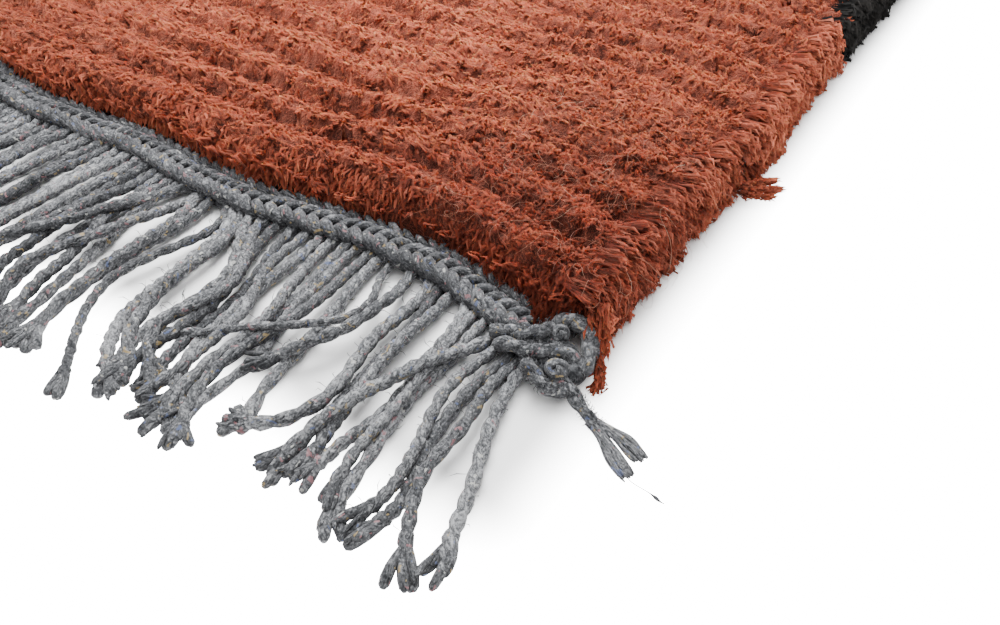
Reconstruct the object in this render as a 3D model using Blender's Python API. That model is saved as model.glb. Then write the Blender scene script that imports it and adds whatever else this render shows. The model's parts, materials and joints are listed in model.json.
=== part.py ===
"""A small hand-knotted rug: a deep shaggy pile, twined ends, corded fringes and tied corners.

Lengths are in metres and +Z is up. The rug lies flat on z = 0, with its middle at the origin, its
rows of knots along X and its fringes at the two ends of Y. The rug looks the same turned half a
turn about Z, so each end piece is modelled once, at the near end (-Y), and placed twice.
"""

import math
from collections import namedtuple

import bmesh
import bpy

# Sizes of the cloth and its pile
FIELD_WIDTH = 0.600
FIELD_LENGTH = 0.900
WEAVE_WIDTH = 0.580
WEAVE_THICKNESS = 0.003
PILE_TOP = 0.0250
GROOVE_TOP = 0.0195
RIDGE_PITCH = 0.022
LUMP = 0.0013
GAP = 0.0003

# Sizes of the twined end, its fringe and its cords
BRAID_WIDTH = 0.018
BRAID_HEIGHT = 0.0085
STATION_PITCH = 0.010
STRIP_WIDTH = 0.0045
STRIP_HEIGHT = 0.0044
CORD_WIDTH = 0.0046
CORD_TIP_WIDTH = 0.0034
CORD_PITCH = 0.0063
CORD_TIP_HEIGHT = 0.0037
CORD_STEPS = 3
CORD_EASE = 1.3
CORD_SWAY = 0.0012
CORD_UNEVEN = 0.003
KNOT_LENGTH = 0.024

# Colours as seen on the wool
RUST = (0.255, 0.062, 0.038, 1.0)
GREY = (0.205, 0.208, 0.214, 1.0)
DARK_GREY = (0.130, 0.132, 0.138, 1.0)
WOOL_ROUGHNESS = 0.95

# How far the near end bows in towards the middle, by the distance from its +X corner
Bow = namedtuple("Bow", "from_corner inward")
BOWS = (
    Bow(0.000, 0.0000),
    Bow(0.078, 0.0095),
    Bow(0.168, -0.0025),
    Bow(0.222, 0.0000),
    Bow(0.285, -0.0060),
    Bow(0.390, 0.0025),
    Bow(0.500, -0.0030),
    Bow(0.600, 0.0000),
)

# The tresses that the fringe falls into, from the +X corner: how many cords each has, how far its
# tips drift along X, the pitch of its cords at the tips, and how far it reaches from the strip
Tress = namedtuple("Tress", "cords drift tip_pitch reach")
TRESSES = (
    Tress(3, 0.0170, 0.0055, 0.078),
    Tress(4, 0.0100, 0.0058, 0.079),
    Tress(5, -0.0020, 0.0046, 0.080),
    Tress(6, 0.0020, 0.0046, 0.088),
    Tress(5, 0.0115, 0.0042, 0.091),
    Tress(7, 0.0060, 0.0055, 0.092),
    Tress(8, 0.0030, 0.0056, 0.088),
    Tress(6, 0.0000, 0.0050, 0.083),
    Tress(7, 0.0035, 0.0048, 0.087),
    Tress(9, -0.0020, 0.0052, 0.085),
    Tress(6, -0.0050, 0.0048, 0.080),
    Tress(8, 0.0040, 0.0050, 0.088),
    Tress(7, 0.0010, 0.0046, 0.082),
    Tress(9, -0.0020, 0.0054, 0.086),
)

# The braid's section: distance out from the cloth's end, and height
BraidPoint = namedtuple("BraidPoint", "outward height")
BRAID_SECTION = (
    BraidPoint(GAP, 0.0),
    BraidPoint(BRAID_WIDTH, 0.0),
    BraidPoint(BRAID_WIDTH, 0.45 * BRAID_HEIGHT),
    BraidPoint(0.74 * BRAID_WIDTH, 0.96 * BRAID_HEIGHT),
    BraidPoint(0.50 * BRAID_WIDTH, 0.70 * BRAID_HEIGHT),
    BraidPoint(0.27 * BRAID_WIDTH, BRAID_HEIGHT),
    BraidPoint(GAP, 0.50 * BRAID_HEIGHT),
)
BRAID_CRESTS = (3, 5)
STITCH_SWELL = 0.09
STITCH_UNEVEN = 0.03

# Rings of the pile's rim, from its seat on the weave up to its crown: how far each stands out past
# the field's side and past the cloth's end, and its height there
RimRing = namedtuple("RimRing", "side_out side_height end_out end_height")
SEAT_OUT = 0.5 * (WEAVE_WIDTH - FIELD_WIDTH) + 2 * GAP
RIM_RINGS = (
    RimRing(SEAT_OUT, WEAVE_THICKNESS + GAP, -0.0014, WEAVE_THICKNESS + GAP),
    RimRing(-0.0020, 0.0006, -0.0012, 0.0050),
    RimRing(0.0010, 0.0110, 0.0030, 0.0140),
)
CROWN_INSET = 0.0070
CROWN_END_INSET = 0.0028
CROWN_DROP = 0.0050
CROWN_END_DROP = 0.0025
PILE_COLUMNS = 22

# Locks of the rim: one ends each ridge at the sides, with a notch before the next
SIDE_LOCK = 0.0040
SIDE_LOCK_UNEVEN = 0.0020
SIDE_NOTCH = -0.0020
CROWN_LOCK_SHARE = 0.4
END_LOCK = 0.0012

# The tied corner and its tail, as sections: place along X past the corner, distance out from the
# cloth's end, half width and height
KnotSection = namedtuple("KnotSection", "past_corner outward half_width height")
KNOT_SECTIONS = (
    KnotSection(-KNOT_LENGTH + GAP, 0.0086, 0.0070, 0.0090),
    KnotSection(-0.0195, 0.0086, 0.0078, 0.0130),
    KnotSection(-0.0150, 0.0088, 0.0072, 0.0112),
    KnotSection(-0.0080, 0.0098, 0.0090, 0.0135),
    KnotSection(-0.0025, 0.0125, 0.0070, 0.0100),
    KnotSection(0.0025, 0.0170, 0.0029, 0.0050),
    KnotSection(0.0100, 0.0225, 0.0019, 0.0036),
    KnotSection(0.0180, 0.0260, 0.0018, 0.0034),
    KnotSection(0.0250, 0.0310, 0.0042, 0.0042),
    KnotSection(0.0320, 0.0360, 0.0034, 0.0036),
    KnotSection(0.0400, 0.0395, 0.0006, 0.0008),
)
KNOT_SIDES = 6


def uneven(*numbers):
    """Return a fixed value from -1 to 1 that differs from place to place, for unevenness."""
    total = sum((place + 1) * 12.9898 * number for place, number in enumerate(numbers, 1))
    return 2.0 * ((math.sin(total) * 43758.5453) % 1.0) - 1.0


def mix(start, end, share):
    """Return the value that lies a share of the way from start to end."""
    return start + (end - start) * share


def near_end(x):
    """Return y of the cloth's near end at x, eased between the rows of BOWS by half cosines."""
    from_corner = min(max(0.5 * FIELD_WIDTH - x, BOWS[0].from_corner), BOWS[-1].from_corner)
    for left, right in zip(BOWS, BOWS[1:]):
        if from_corner <= right.from_corner:
            share = (from_corner - left.from_corner) / (right.from_corner - left.from_corner)
            eased = 0.5 - 0.5 * math.cos(math.pi * share)
            return -0.5 * FIELD_LENGTH + mix(left.inward, right.inward, eased)
    return -0.5 * FIELD_LENGTH


def far_end(x):
    """Return y of the cloth's far end at x, the near end turned half a turn."""
    return -near_end(-x)


def stations(start, end, pitch):
    """Return evenly spaced places from start to end, about a pitch apart."""
    count = round((end - start) / pitch)
    return [mix(start, end, number / count) for number in range(count + 1)]


def wool(name, colour):
    """Return a rough, dull material of one colour."""
    material = bpy.data.materials.new(name)
    material.use_nodes = True
    shader = material.node_tree.nodes["Principled BSDF"]
    shader.inputs["Base Color"].default_value = colour
    shader.inputs["Roughness"].default_value = WOOL_ROUGHNESS
    shader.inputs["Metallic"].default_value = 0.0
    return material


def add_solid(name, points, faces, material):
    """Make one closed object of points and faces, with triangular faces that point outward."""
    mesh = bpy.data.meshes.new(name)
    solid = bmesh.new()
    corners = [solid.verts.new(point) for point in points]
    for face in faces:
        solid.faces.new([corners[number] for number in face])
    bmesh.ops.recalc_face_normals(solid, faces=solid.faces)
    bmesh.ops.triangulate(solid, faces=solid.faces)
    solid.to_mesh(mesh)
    solid.free()
    mesh.materials.append(material)
    piece = bpy.data.objects.new(name, mesh)
    bpy.context.scene.collection.objects.link(piece)
    return piece


def turn_copy(piece, name):
    """Place a copy of a near end piece at the far end, by half a turn about Z."""
    copy = bpy.data.objects.new(name, piece.data)
    copy.rotation_euler = (0.0, 0.0, math.pi)
    bpy.context.scene.collection.objects.link(copy)
    return copy


def ring_faces(start, sides, rings):
    """Return the four-sided faces that join rings of points, each ring closed on itself."""
    faces = []
    for ring in range(rings - 1):
        low = start + ring * sides
        high = low + sides
        for side in range(sides):
            after = (side + 1) % sides
            faces.append((low + side, low + after, high + after, high + side))
    return faces


def make_weave(material):
    """Make the flat ground weave, which carries the knots and rests on the floor."""
    points = []
    places = stations(-0.5 * WEAVE_WIDTH, 0.5 * WEAVE_WIDTH, STATION_PITCH)
    for x in places:
        near, far = near_end(x), far_end(x)
        points += [(x, near, 0.0), (x, far, 0.0), (x, far, WEAVE_THICKNESS), (x, near, WEAVE_THICKNESS)]
    faces = ring_faces(0, 4, len(places))
    last = 4 * (len(places) - 1)
    faces += [(0, 1, 2, 3), (last, last + 1, last + 2, last + 3)]
    return add_solid("ground_weave", points, faces, material)


def pile_height(column, row, columns, rows):
    """Return the pile's height: a ridge on odd rows, a groove on even ones, lumpy, low at the rim."""
    height = PILE_TOP if row % 2 else GROOVE_TOP
    height += LUMP * uneven(column, row)
    if column in (0, columns):
        height -= CROWN_DROP
    if row in (0, rows):
        height -= CROWN_END_DROP
    return height


def pile_point(column, row, columns, rows):
    """Return a point of the pile's upper side, whose rows follow the bowed ends of the cloth."""
    x = mix(-0.5 * FIELD_WIDTH + CROWN_INSET, 0.5 * FIELD_WIDTH - CROWN_INSET, column / columns)
    if column in (0, columns):
        x += math.copysign(CROWN_LOCK_SHARE * side_lock(row), x)
    y = mix(near_end(x) + CROWN_END_INSET, far_end(x) - CROWN_END_INSET, row / rows)
    return (x, y, pile_height(column, row, columns, rows))


def side_lock(row):
    """Return how far the rim stands out at a row: a lock ends each ridge, with a notch between."""
    if row % 2:
        return SIDE_LOCK + SIDE_LOCK_UNEVEN * uneven(row)
    return SIDE_NOTCH


def rim_point(column, row, columns, rows, ring):
    """Return a point of one ring of the rim, beside a point of the upper side's edge."""
    at_side = column in (0, columns)
    at_end = row in (0, rows)
    lock = side_lock(row) if ring is not RIM_RINGS[0] and not at_end else 0.0
    x = mix(-1.0, 1.0, column / columns) * (0.5 * FIELD_WIDTH - CROWN_INSET)
    if at_side:
        x = math.copysign(0.5 * FIELD_WIDTH + ring.side_out + lock, x)
    out = ring.end_out
    if ring is RIM_RINGS[-1]:
        out += END_LOCK * (-1.0) ** column
    near, far = near_end(x), far_end(x)
    if row == 0:
        y = near - out
    elif row == rows:
        y = far + out
    else:
        y = mix(near + CROWN_END_INSET, far - CROWN_END_INSET, row / rows)
    height = ring.end_height if at_end else ring.side_height
    return (x, y, height)


def make_pile(material):
    """Make the shaggy pile: a lumpy slab in ridges, whose rim hangs over the weave in locks."""
    columns = PILE_COLUMNS
    rows = 2 * round(FIELD_LENGTH / RIDGE_PITCH)
    points = []
    faces = []
    for row in range(rows + 1):
        for column in range(columns + 1):
            points.append(pile_point(column, row, columns, rows))
    for row in range(rows):
        for column in range(columns):
            low = row * (columns + 1) + column
            high = low + columns + 1
            faces.append((low, low + 1, high + 1, high))
    edge = [(column, 0) for column in range(columns)]
    edge += [(columns, row) for row in range(rows)]
    edge += [(column, rows) for column in range(columns, 0, -1)]
    edge += [(0, row) for row in range(rows, 0, -1)]
    start = len(points)
    for ring in RIM_RINGS:
        points += [rim_point(column, row, columns, rows, ring) for column, row in edge]
    faces += ring_faces(start, len(edge), len(RIM_RINGS))
    belly = start + (len(RIM_RINGS) - 1) * len(edge)
    crown = [row * (columns + 1) + column for column, row in edge]
    for number in range(len(edge)):
        after = (number + 1) % len(edge)
        faces.append((belly + number, belly + after, crown[after], crown[number]))
    faces.append(tuple(range(start, start + len(edge))))
    return add_solid("pile", points, faces, material)


def make_braid(material):
    """Make the twined end: two raised rows of stitches, swept along the cloth's bowed end."""
    points = []
    places = stations(-0.5 * FIELD_WIDTH, 0.5 * FIELD_WIDTH - KNOT_LENGTH, STATION_PITCH)
    for station, x in enumerate(places):
        for number, point in enumerate(BRAID_SECTION):
            height = point.height
            if number in BRAID_CRESTS:
                swell = STITCH_SWELL * (-1.0) ** (station + number // 2)
                height *= 1.0 + swell + STITCH_UNEVEN * uneven(station, number)
            points.append((x, near_end(x) - point.outward, height))
    sides = len(BRAID_SECTION)
    faces = ring_faces(0, sides, len(places))
    faces += [tuple(range(sides)), tuple(range(len(points) - sides, len(points)))]
    return add_solid("braid_near", points, faces, material)


def cord_routes():
    """Return each cord of a fringe as its root's x, its tip's x, its bow and its reach."""
    routes = []
    total = sum(tress.cords for tress in TRESSES)
    root = 0.5 * (total - 1) * CORD_PITCH
    for place, tress in enumerate(TRESSES):
        middle = root - 0.5 * (tress.cords - 1) * CORD_PITCH + tress.drift
        bow = CORD_SWAY * uneven(place)
        for number in range(tress.cords):
            tip = middle + (0.5 * (tress.cords - 1) - number) * tress.tip_pitch
            reach = tress.reach + CORD_UNEVEN * uneven(place, number)
            routes.append((root, tip, bow, reach))
            root -= CORD_PITCH
    return routes


def cord_ring(root, tip, bow, reach, share, base):
    """Return three points across a cord: two on the floor and one at its ridge."""
    x = mix(root, tip, share ** CORD_EASE) + bow * math.sin(math.pi * share)
    y = base - reach * share
    half = 0.5 * mix(CORD_WIDTH, CORD_TIP_WIDTH, share)
    height = mix(STRIP_HEIGHT, CORD_TIP_HEIGHT, share)
    return [(x - half, y, 0.0), (x + half, y, 0.0), (x, y, height)]


def make_fringe(material):
    """Make the fringe: three-sided cords that lie on the floor, fused at the root into one strip."""
    points = []
    faces = []
    back = []
    roots = []
    strip_outer = BRAID_WIDTH + GAP + STRIP_WIDTH
    for root, tip, bow, reach in cord_routes():
        base = near_end(root) - strip_outer
        first = len(points)
        roots.append(first)
        for step in range(CORD_STEPS + 1):
            points += cord_ring(root, tip, bow, reach, step / CORD_STEPS, base)
        faces += ring_faces(first, 3, CORD_STEPS + 1)
        last = first + 3 * CORD_STEPS
        faces.append((last, last + 1, last + 2))
        back.append(len(points))
        points += [(root, base + STRIP_WIDTH, 0.0), (root, base + STRIP_WIDTH, STRIP_HEIGHT)]
        faces.append((first, first + 1, back[-1]))
    for number in range(len(roots) - 1):
        low, high = roots[number + 1], roots[number]
        low_back, high_back = back[number + 1], back[number]
        faces.append((low + 1, high, high + 2, low + 2))
        faces.append((low + 1, high, high_back, low_back))
        faces.append((low + 2, high + 2, high_back + 1, low_back + 1))
        faces.append((low_back, high_back, high_back + 1, low_back + 1))
    for number, side in ((0, 1), (len(roots) - 1, 0)):
        first, rear = roots[number], back[number]
        faces.append((first + side, first + 2, rear + 1, rear))
    return add_solid("fringe_near", points, faces, material)


def make_knot(material):
    """Make the tied corner and its tail: half-round sections that rest flat on the floor."""
    points = []
    centres = []
    for section in KNOT_SECTIONS:
        x = 0.5 * FIELD_WIDTH + section.past_corner
        centres.append((x, -0.5 * FIELD_LENGTH - section.outward))
    for number, section in enumerate(KNOT_SECTIONS):
        before = centres[max(number - 1, 0)]
        after = centres[min(number + 1, len(centres) - 1)]
        length = math.dist(before, after)
        across = ((before[1] - after[1]) / length, (after[0] - before[0]) / length)
        for side in range(KNOT_SIDES):
            angle = math.pi * side / (KNOT_SIDES - 1)
            offset = section.half_width * math.cos(angle)
            height = section.height * math.sin(angle) if 0 < side < KNOT_SIDES - 1 else 0.0
            x = centres[number][0] + across[0] * offset
            y = centres[number][1] + across[1] * offset
            points.append((x, y, height))
    faces = ring_faces(0, KNOT_SIDES, len(KNOT_SECTIONS))
    faces += [tuple(range(KNOT_SIDES)), tuple(range(len(points) - KNOT_SIDES, len(points)))]
    return add_solid("corner_knot_near", points, faces, material)


def main():
    """Clear the scene and make the rug's pieces in their places."""
    for piece in list(bpy.data.objects):
        bpy.data.objects.remove(piece)
    rust_wool = wool("rust_wool", RUST)
    grey_weave = wool("grey_weave", DARK_GREY)
    grey_yarn = wool("grey_yarn", GREY)
    make_weave(grey_weave)
    make_pile(rust_wool)
    turn_copy(make_braid(grey_yarn), "braid_far")
    turn_copy(make_fringe(grey_yarn), "fringe_far")
    turn_copy(make_knot(grey_yarn), "corner_knot_far")


main()
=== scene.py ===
# %% [markdown]
# A small hand-knotted wool rug lies on a white floor, seen close up at one corner. Its solids are
# already fixed: a flat ground weave, a lumpy slab of pile, two twined ends, two fringes and two tied
# corners. This lesson gives each of them the surface that the wool has, and leaves its place alone.
# We load the solids first, because every later piece takes its place from them.

# %% Load the fixed solids
import json
import math

import bpy
import numpy as np
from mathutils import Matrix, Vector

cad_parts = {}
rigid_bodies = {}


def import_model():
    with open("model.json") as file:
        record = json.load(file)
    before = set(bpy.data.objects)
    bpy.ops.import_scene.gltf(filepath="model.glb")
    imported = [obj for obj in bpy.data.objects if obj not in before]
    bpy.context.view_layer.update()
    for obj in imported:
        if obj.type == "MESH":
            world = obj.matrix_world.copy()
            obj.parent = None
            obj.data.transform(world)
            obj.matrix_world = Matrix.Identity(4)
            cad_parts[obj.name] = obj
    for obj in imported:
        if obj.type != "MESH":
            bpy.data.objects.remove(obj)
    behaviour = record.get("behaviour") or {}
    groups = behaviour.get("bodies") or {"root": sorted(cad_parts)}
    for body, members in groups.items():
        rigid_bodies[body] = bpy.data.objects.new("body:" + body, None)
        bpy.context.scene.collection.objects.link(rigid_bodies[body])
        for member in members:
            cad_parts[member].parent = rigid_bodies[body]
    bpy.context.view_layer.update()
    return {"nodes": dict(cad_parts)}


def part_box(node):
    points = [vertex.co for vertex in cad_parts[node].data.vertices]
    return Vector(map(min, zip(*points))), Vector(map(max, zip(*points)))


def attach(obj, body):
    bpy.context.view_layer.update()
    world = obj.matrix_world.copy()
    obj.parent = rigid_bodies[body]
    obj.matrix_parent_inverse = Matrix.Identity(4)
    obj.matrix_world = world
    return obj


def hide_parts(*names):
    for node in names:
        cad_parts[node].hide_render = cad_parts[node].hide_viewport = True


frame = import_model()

weave_low, weave_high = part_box("ground_weave")

# %% [markdown]
# The ends of a hand-woven cloth are never quite straight. The ground weave's solid already bows in
# and out along its near end, so we read that line from it and use it for the pile, the twined rows
# and the fringe. The rug looks the same turned half a turn, so the far end is the near end turned.

# %% The line of the cloth's end
FIELD_WIDTH = 0.600
FIELD_LENGTH = 0.900
HALF_WIDTH = 0.5 * FIELD_WIDTH
HALF_LENGTH = 0.5 * FIELD_LENGTH
BOW_EASING = 0.006

weave_points = np.array([v.co for v in frame["nodes"]["ground_weave"].data.vertices])
near_points = weave_points[weave_points[:, 1] < 0.0]
end_x, first = np.unique(np.round(near_points[:, 0], 5), return_index=True)
end_y = near_points[first, 1]


def near_end(x):
    """y of the cloth's near end at x: the solid's own line, averaged over a few millimetres."""
    shifts = (-BOW_EASING, 0.0, BOW_EASING)
    return sum(np.interp(x + shift, end_x, end_y) for shift in shifts) / len(shifts)


def far_end(x):
    """y of the far end at x: the near end turned half a turn about the rug's middle."""
    return -near_end(-np.asarray(x))


print("near end bows from", round(float(end_y.min()), 4), "to", round(float(end_y.max()), 4))

# %% [markdown]
# Almost all of a rug is thin round things: tufts, cords, plies and stray hairs. All can be made the
# same way, as a ring of points carried along a path. We work out every path at once as one big
# array, so that tens of thousands of tufts take a second, and each tube is closed at both ends.

# %% Helpers that turn arrays into meshes
FULL_TURN = 2.0 * math.pi
QUARTER_TURN = 0.5 * math.pi
SHIFT_BETWEEN_TUBES = 3.7


def unit(vectors):
    """Vectors scaled to length one."""
    return vectors / np.maximum(np.linalg.norm(vectors, axis=-1, keepdims=True), 1e-12)


def ease(low, high, value):
    """0 below low, 1 above high, and a smooth S between them."""
    share = np.clip((value - low) / (high - low), 0.0, 1.0)
    return share * share * (3.0 - 2.0 * share)


def put_in_scene(name, data):
    """Make an object of some data and link it to the scene."""
    thing = bpy.data.objects.new(name, data)
    bpy.context.scene.collection.objects.link(thing)
    return thing


def add_piece(name, points, faces, uvs, material, tags=None, normals=None):
    """Make one smooth mesh object. faces and uvs are lists of blocks, one row for each face."""
    corners = np.concatenate([block.reshape(-1) for block in faces]).astype(np.int32)
    sizes = np.concatenate([np.full(len(block), block.shape[1]) for block in faces])
    starts = np.concatenate([[0], np.cumsum(sizes)[:-1]]).astype(np.int32)
    mesh = bpy.data.meshes.new(name)
    mesh.vertices.add(len(points))
    mesh.vertices.foreach_set("co", points.astype(np.float32).reshape(-1))
    mesh.loops.add(len(corners))
    mesh.loops.foreach_set("vertex_index", corners)
    mesh.polygons.add(len(sizes))
    mesh.polygons.foreach_set("loop_start", starts)
    mesh.polygons.foreach_set("use_smooth", np.ones(len(sizes), bool))
    layer = mesh.uv_layers.new(name="UVMap")
    flat = np.concatenate([block.reshape(-1, 2) for block in uvs]).astype(np.float32)
    layer.data.foreach_set("uv", flat.reshape(-1))
    if tags is not None:
        wool = mesh.color_attributes.new(name="wool", type="FLOAT_COLOR", domain="POINT")
        wool.data.foreach_set("color", tags.astype(np.float32).reshape(-1))
    mesh.update(calc_edges=True)
    if normals is not None:
        mesh.normals_split_custom_set_from_vertices(normals.tolist())
    mesh.materials.append(material)
    piece = put_in_scene(name, mesh)
    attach(piece, "root")
    triangles = int((sizes - 2).sum())
    print(f"{name}: {len(points)} points, {triangles} triangles")
    return piece


def join_blocks(parts):
    """Join several (points, faces, uvs, tags) into one, counting each part's points on."""
    points, faces, uvs, tags, total = [], [], [], [], 0
    for part_points, part_faces, part_uvs, part_tags in parts:
        points.append(part_points)
        faces += [block + total for block in part_faces]
        uvs += part_uvs
        tags.append(part_tags)
        total += len(part_points)
    return np.concatenate(points), faces, uvs, np.concatenate(tags)


def travelled(paths):
    """Length run along each path at each of its steps."""
    steps = np.linalg.norm(np.diff(paths, axis=1), axis=2)
    return np.concatenate([np.zeros((len(paths), 1)), np.cumsum(steps, 1)], 1)


def grid_faces(index):
    """Four-sided faces between the rows and columns of a grid of point numbers."""
    return np.stack([index[:-1, :-1], index[:-1, 1:], index[1:, 1:], index[1:, :-1]], -1).reshape(-1, 4)


def cross_axes(forward, upward):
    """Two directions that stand across a path at right angles: sideways and up."""
    sideways = unit(np.cross(forward, np.broadcast_to(np.asarray(upward, float), forward.shape)))
    return sideways, np.cross(sideways, forward)


def tubes(paths, radii, sides, tone, upward=(0.0, 0.0, 1.0)):
    """Closed tubes along many paths at once.

    paths is (tubes, steps, 3) and radii (tubes, steps). At each step a ring of points stands
    across the path: centre + radius * (cos a * sideways + sin a * up), for even angles a. The
    first and last rings are closed by one flat face each. tone is (tubes,) and the tag's second
    channel runs from 0 at the root to 1 at the tip.
    """
    count, steps = radii.shape
    sideways, up = cross_axes(unit(np.gradient(paths, axis=1)), upward)
    angle = FULL_TURN * np.arange(sides) / sides
    ring = (np.cos(angle)[:, None] * sideways[:, :, None, :]
            + np.sin(angle)[:, None] * up[:, :, None, :])
    points = paths[:, :, None, :] + radii[:, :, None, None] * ring
    index = np.arange(count * steps * sides).reshape(count, steps, sides)
    after = np.roll(index, -1, axis=2)
    quads = np.stack([index[:, :-1], index[:, 1:], after[:, 1:], after[:, :-1]], -1)
    run = travelled(paths) + SHIFT_BETWEEN_TUBES * np.arange(count)[:, None]
    around = np.arange(sides) / sides
    starts, ends = run[:, :-1, None], run[:, 1:, None]
    low, high, start, end = np.broadcast_arrays(around, around + 1 / sides, starts, ends)
    quad_uv = np.stack([low, start, low, end, high, end, high, start], -1).reshape(-1, 4, 2)
    caps = np.concatenate([index[:, 0], index[:, -1, ::-1]])
    cap_uv = np.zeros((len(caps), sides, 2))
    cap_uv[..., 1] = np.concatenate([run[:, 0], run[:, -1]])[:, None]
    tags = np.ones((count, steps, sides, 4))
    tags[..., 0] = tone[:, None, None]
    tags[..., 1] = np.linspace(0.0, 1.0, steps)[None, :, None]
    tags[..., 2] = 0.0
    return points.reshape(-1, 3), [quads.reshape(-1, 4), caps], [quad_uv, cap_uv], tags.reshape(-1, 4)


# %% [markdown]
# Wool takes light softly. All its fibres run along the yarn, so one shader group draws streaks
# along a piece's own UV map, where V runs along the yarn and U around it. It is built once, with
# named sockets, and serves the pile, the cords and the twined rows, each with its own scales.

# %% Shader group: fibres along the yarn
def new_group(name, inputs, outputs):
    """Make an empty shader group with named float or colour sockets."""
    group = bpy.data.node_groups.new(name, "ShaderNodeTree")
    for socket, kind, value in inputs:
        made = group.interface.new_socket(socket, in_out="INPUT", socket_type=kind)
        if value is not None:
            made.default_value = value
    for socket, kind in outputs:
        group.interface.new_socket(socket, in_out="OUTPUT", socket_type=kind)
    return group, group.nodes.new("NodeGroupInput"), group.nodes.new("NodeGroupOutput")


def add_node(tree, kind, settings=(), **links):
    """Add a node, set its properties, and link or set its inputs by name, or by number as i0, i1."""
    node = tree.nodes.new(kind)
    for name, value in dict(settings).items():
        setattr(node, name, value)
    for name, value in links.items():
        socket = node.inputs[int(name[1:]) if name[1:].isdigit() else name.replace("_", " ")]
        if isinstance(value, bpy.types.NodeSocket):
            tree.links.new(value, socket)
        else:
            socket.default_value = value
    return node


def maths(tree, operation, first, second=0.0, clamp=False):
    """One arithmetic step on two values."""
    settings = {"operation": operation, "use_clamp": clamp}
    return add_node(tree, "ShaderNodeMath", settings, i0=first, i1=second).outputs[0]


def object_noise(tree, scale, detail, **more):
    """Noise laid out in the piece's own coordinates."""
    place = add_node(tree, "ShaderNodeTexCoord").outputs["Object"]
    noise = add_node(tree, "ShaderNodeTexNoise", Vector=place, Scale=scale, Detail=detail, **more)
    return noise.outputs["Fac"]


FLOAT = "NodeSocketFloat"
PATCH_SCALE = 45.0

fibre, fibre_in, fibre_out = new_group(
    "wool_fibres",
    [("Around", FLOAT, 8.0), ("Along", FLOAT, 60.0), ("Waviness", FLOAT, 1.0)],
    [("Streak", FLOAT), ("Patch", FLOAT)])
fibre_uv = add_node(fibre, "ShaderNodeUVMap", {"uv_map": "UVMap"})
fibre_place = add_node(fibre, "ShaderNodeSeparateXYZ", Vector=fibre_uv.outputs["UV"])
fibre_point = add_node(
    fibre, "ShaderNodeCombineXYZ",
    X=maths(fibre, "MULTIPLY", fibre_place.outputs["X"], fibre_in.outputs["Around"]),
    Y=maths(fibre, "MULTIPLY", fibre_place.outputs["Y"], fibre_in.outputs["Along"]))
fibre_noise = add_node(fibre, "ShaderNodeTexNoise", Vector=fibre_point.outputs[0], Scale=1.0, Detail=3.0,
                       Roughness=0.6, Distortion=fibre_in.outputs["Waviness"])
fibre.links.new(fibre_noise.outputs["Fac"], fibre_out.inputs["Streak"])
fibre.links.new(object_noise(fibre, PATCH_SCALE, 3.0), fibre_out.inputs["Patch"])
print("group wool_fibres:", len(fibre.nodes), "nodes")


# %% [markdown]
# The pile's colour has depth. Tips catch the light and are faded to a soft brick colour, and
# towards the roots the colour darkens to a deep red brown: that darkening is painted shade, where
# the packed fibres shade each other. Each tuft carries three numbers in an attribute: its own
# tone, how far along it a point lies, and whether it was knotted from rust or black wool.

# %% Materials for the pile, the yarn and the weave
def ramp(tree, factor, stops):
    """A colour ramp through (position, colour) stops."""
    node = add_node(tree, "ShaderNodeValToRGB", Fac=factor)
    elements = node.color_ramp.elements
    while len(elements) < len(stops):
        elements.new(0.5)
    for element, (place, colour) in zip(elements, stops):
        element.position = place
        element.color = (*colour, 1.0)
    return node.outputs["Color"]


def mix_colour(tree, factor, first, second):
    """Mix two colours, each a socket or three numbers."""
    node = add_node(tree, "ShaderNodeMix", {"data_type": "RGBA", "blend_type": "MIX"})
    for socket, value in ((node.inputs[0], factor), (node.inputs[6], first), (node.inputs[7], second)):
        if isinstance(value, bpy.types.NodeSocket):
            tree.links.new(value, socket)
        else:
            socket.default_value = (*value, 1.0) if hasattr(value, "__len__") else value
    return node.outputs[2]


def centred(tree, value, amount):
    """A value that varies about a half, made to vary about nothing by an amount."""
    return maths(tree, "MULTIPLY", maths(tree, "SUBTRACT", value, 0.5), amount)


def wool_numbers(tree):
    """The three numbers that each point of the wool carries, as Red, Green and Blue."""
    tag = add_node(tree, "ShaderNodeVertexColor", {"layer_name": "wool"})
    return add_node(tree, "ShaderNodeSeparateColor", Color=tag.outputs["Color"]).outputs


def new_material(name, **values):
    """A material, its node tree and its shader, with constants set on the shader's own sockets."""
    material = bpy.data.materials.new(name)
    material.use_nodes = True
    tree = material.node_tree
    shader = tree.nodes["Principled BSDF"]
    for socket, value in values.items():
        shader.inputs[socket.replace("_", " ")].default_value = value
    return material, tree, shader


def new_wool(name, sheen, sheen_tint, depth=0.0):
    """A material with a rough wool shader; depth is how far light goes through the fibres."""
    through = {}
    if depth:
        through = {"Subsurface_Weight": 0.6, "Subsurface_Radius": (1.0, 0.45, 0.3), "Subsurface_Scale": depth}
    return new_material(name, Roughness=0.92, Specular_IOR_Level=0.15, Sheen_Weight=sheen,
                        Sheen_Roughness=0.5, Sheen_Tint=(*sheen_tint, 1.0), **through)


def add_relief(tree, shader, height, strength, distance):
    """Roughen a shader's surface by a height, on top of any relief that it has."""
    normal = shader.inputs["Normal"]
    under = {"Normal": normal.links[0].from_socket} if normal.is_linked else {}
    bump = add_node(tree, "ShaderNodeBump", Strength=strength, Distance=distance, Height=height, **under)
    tree.links.new(bump.outputs["Normal"], normal)


def add_fibres(tree, shader, around, along, waviness, strength, distance):
    """Place the fibre group in a material and let its streaks roughen the surface."""
    group = add_node(tree, "ShaderNodeGroup", {"node_tree": fibre},
                     Around=around, Along=along, Waviness=waviness)
    add_relief(tree, shader, group.outputs["Streak"], strength, distance)
    return group.outputs


# In the pile's ramp the dark root and deep stops are painted shade in the depth of the pile; the light tip is
# the faded wool.
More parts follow.
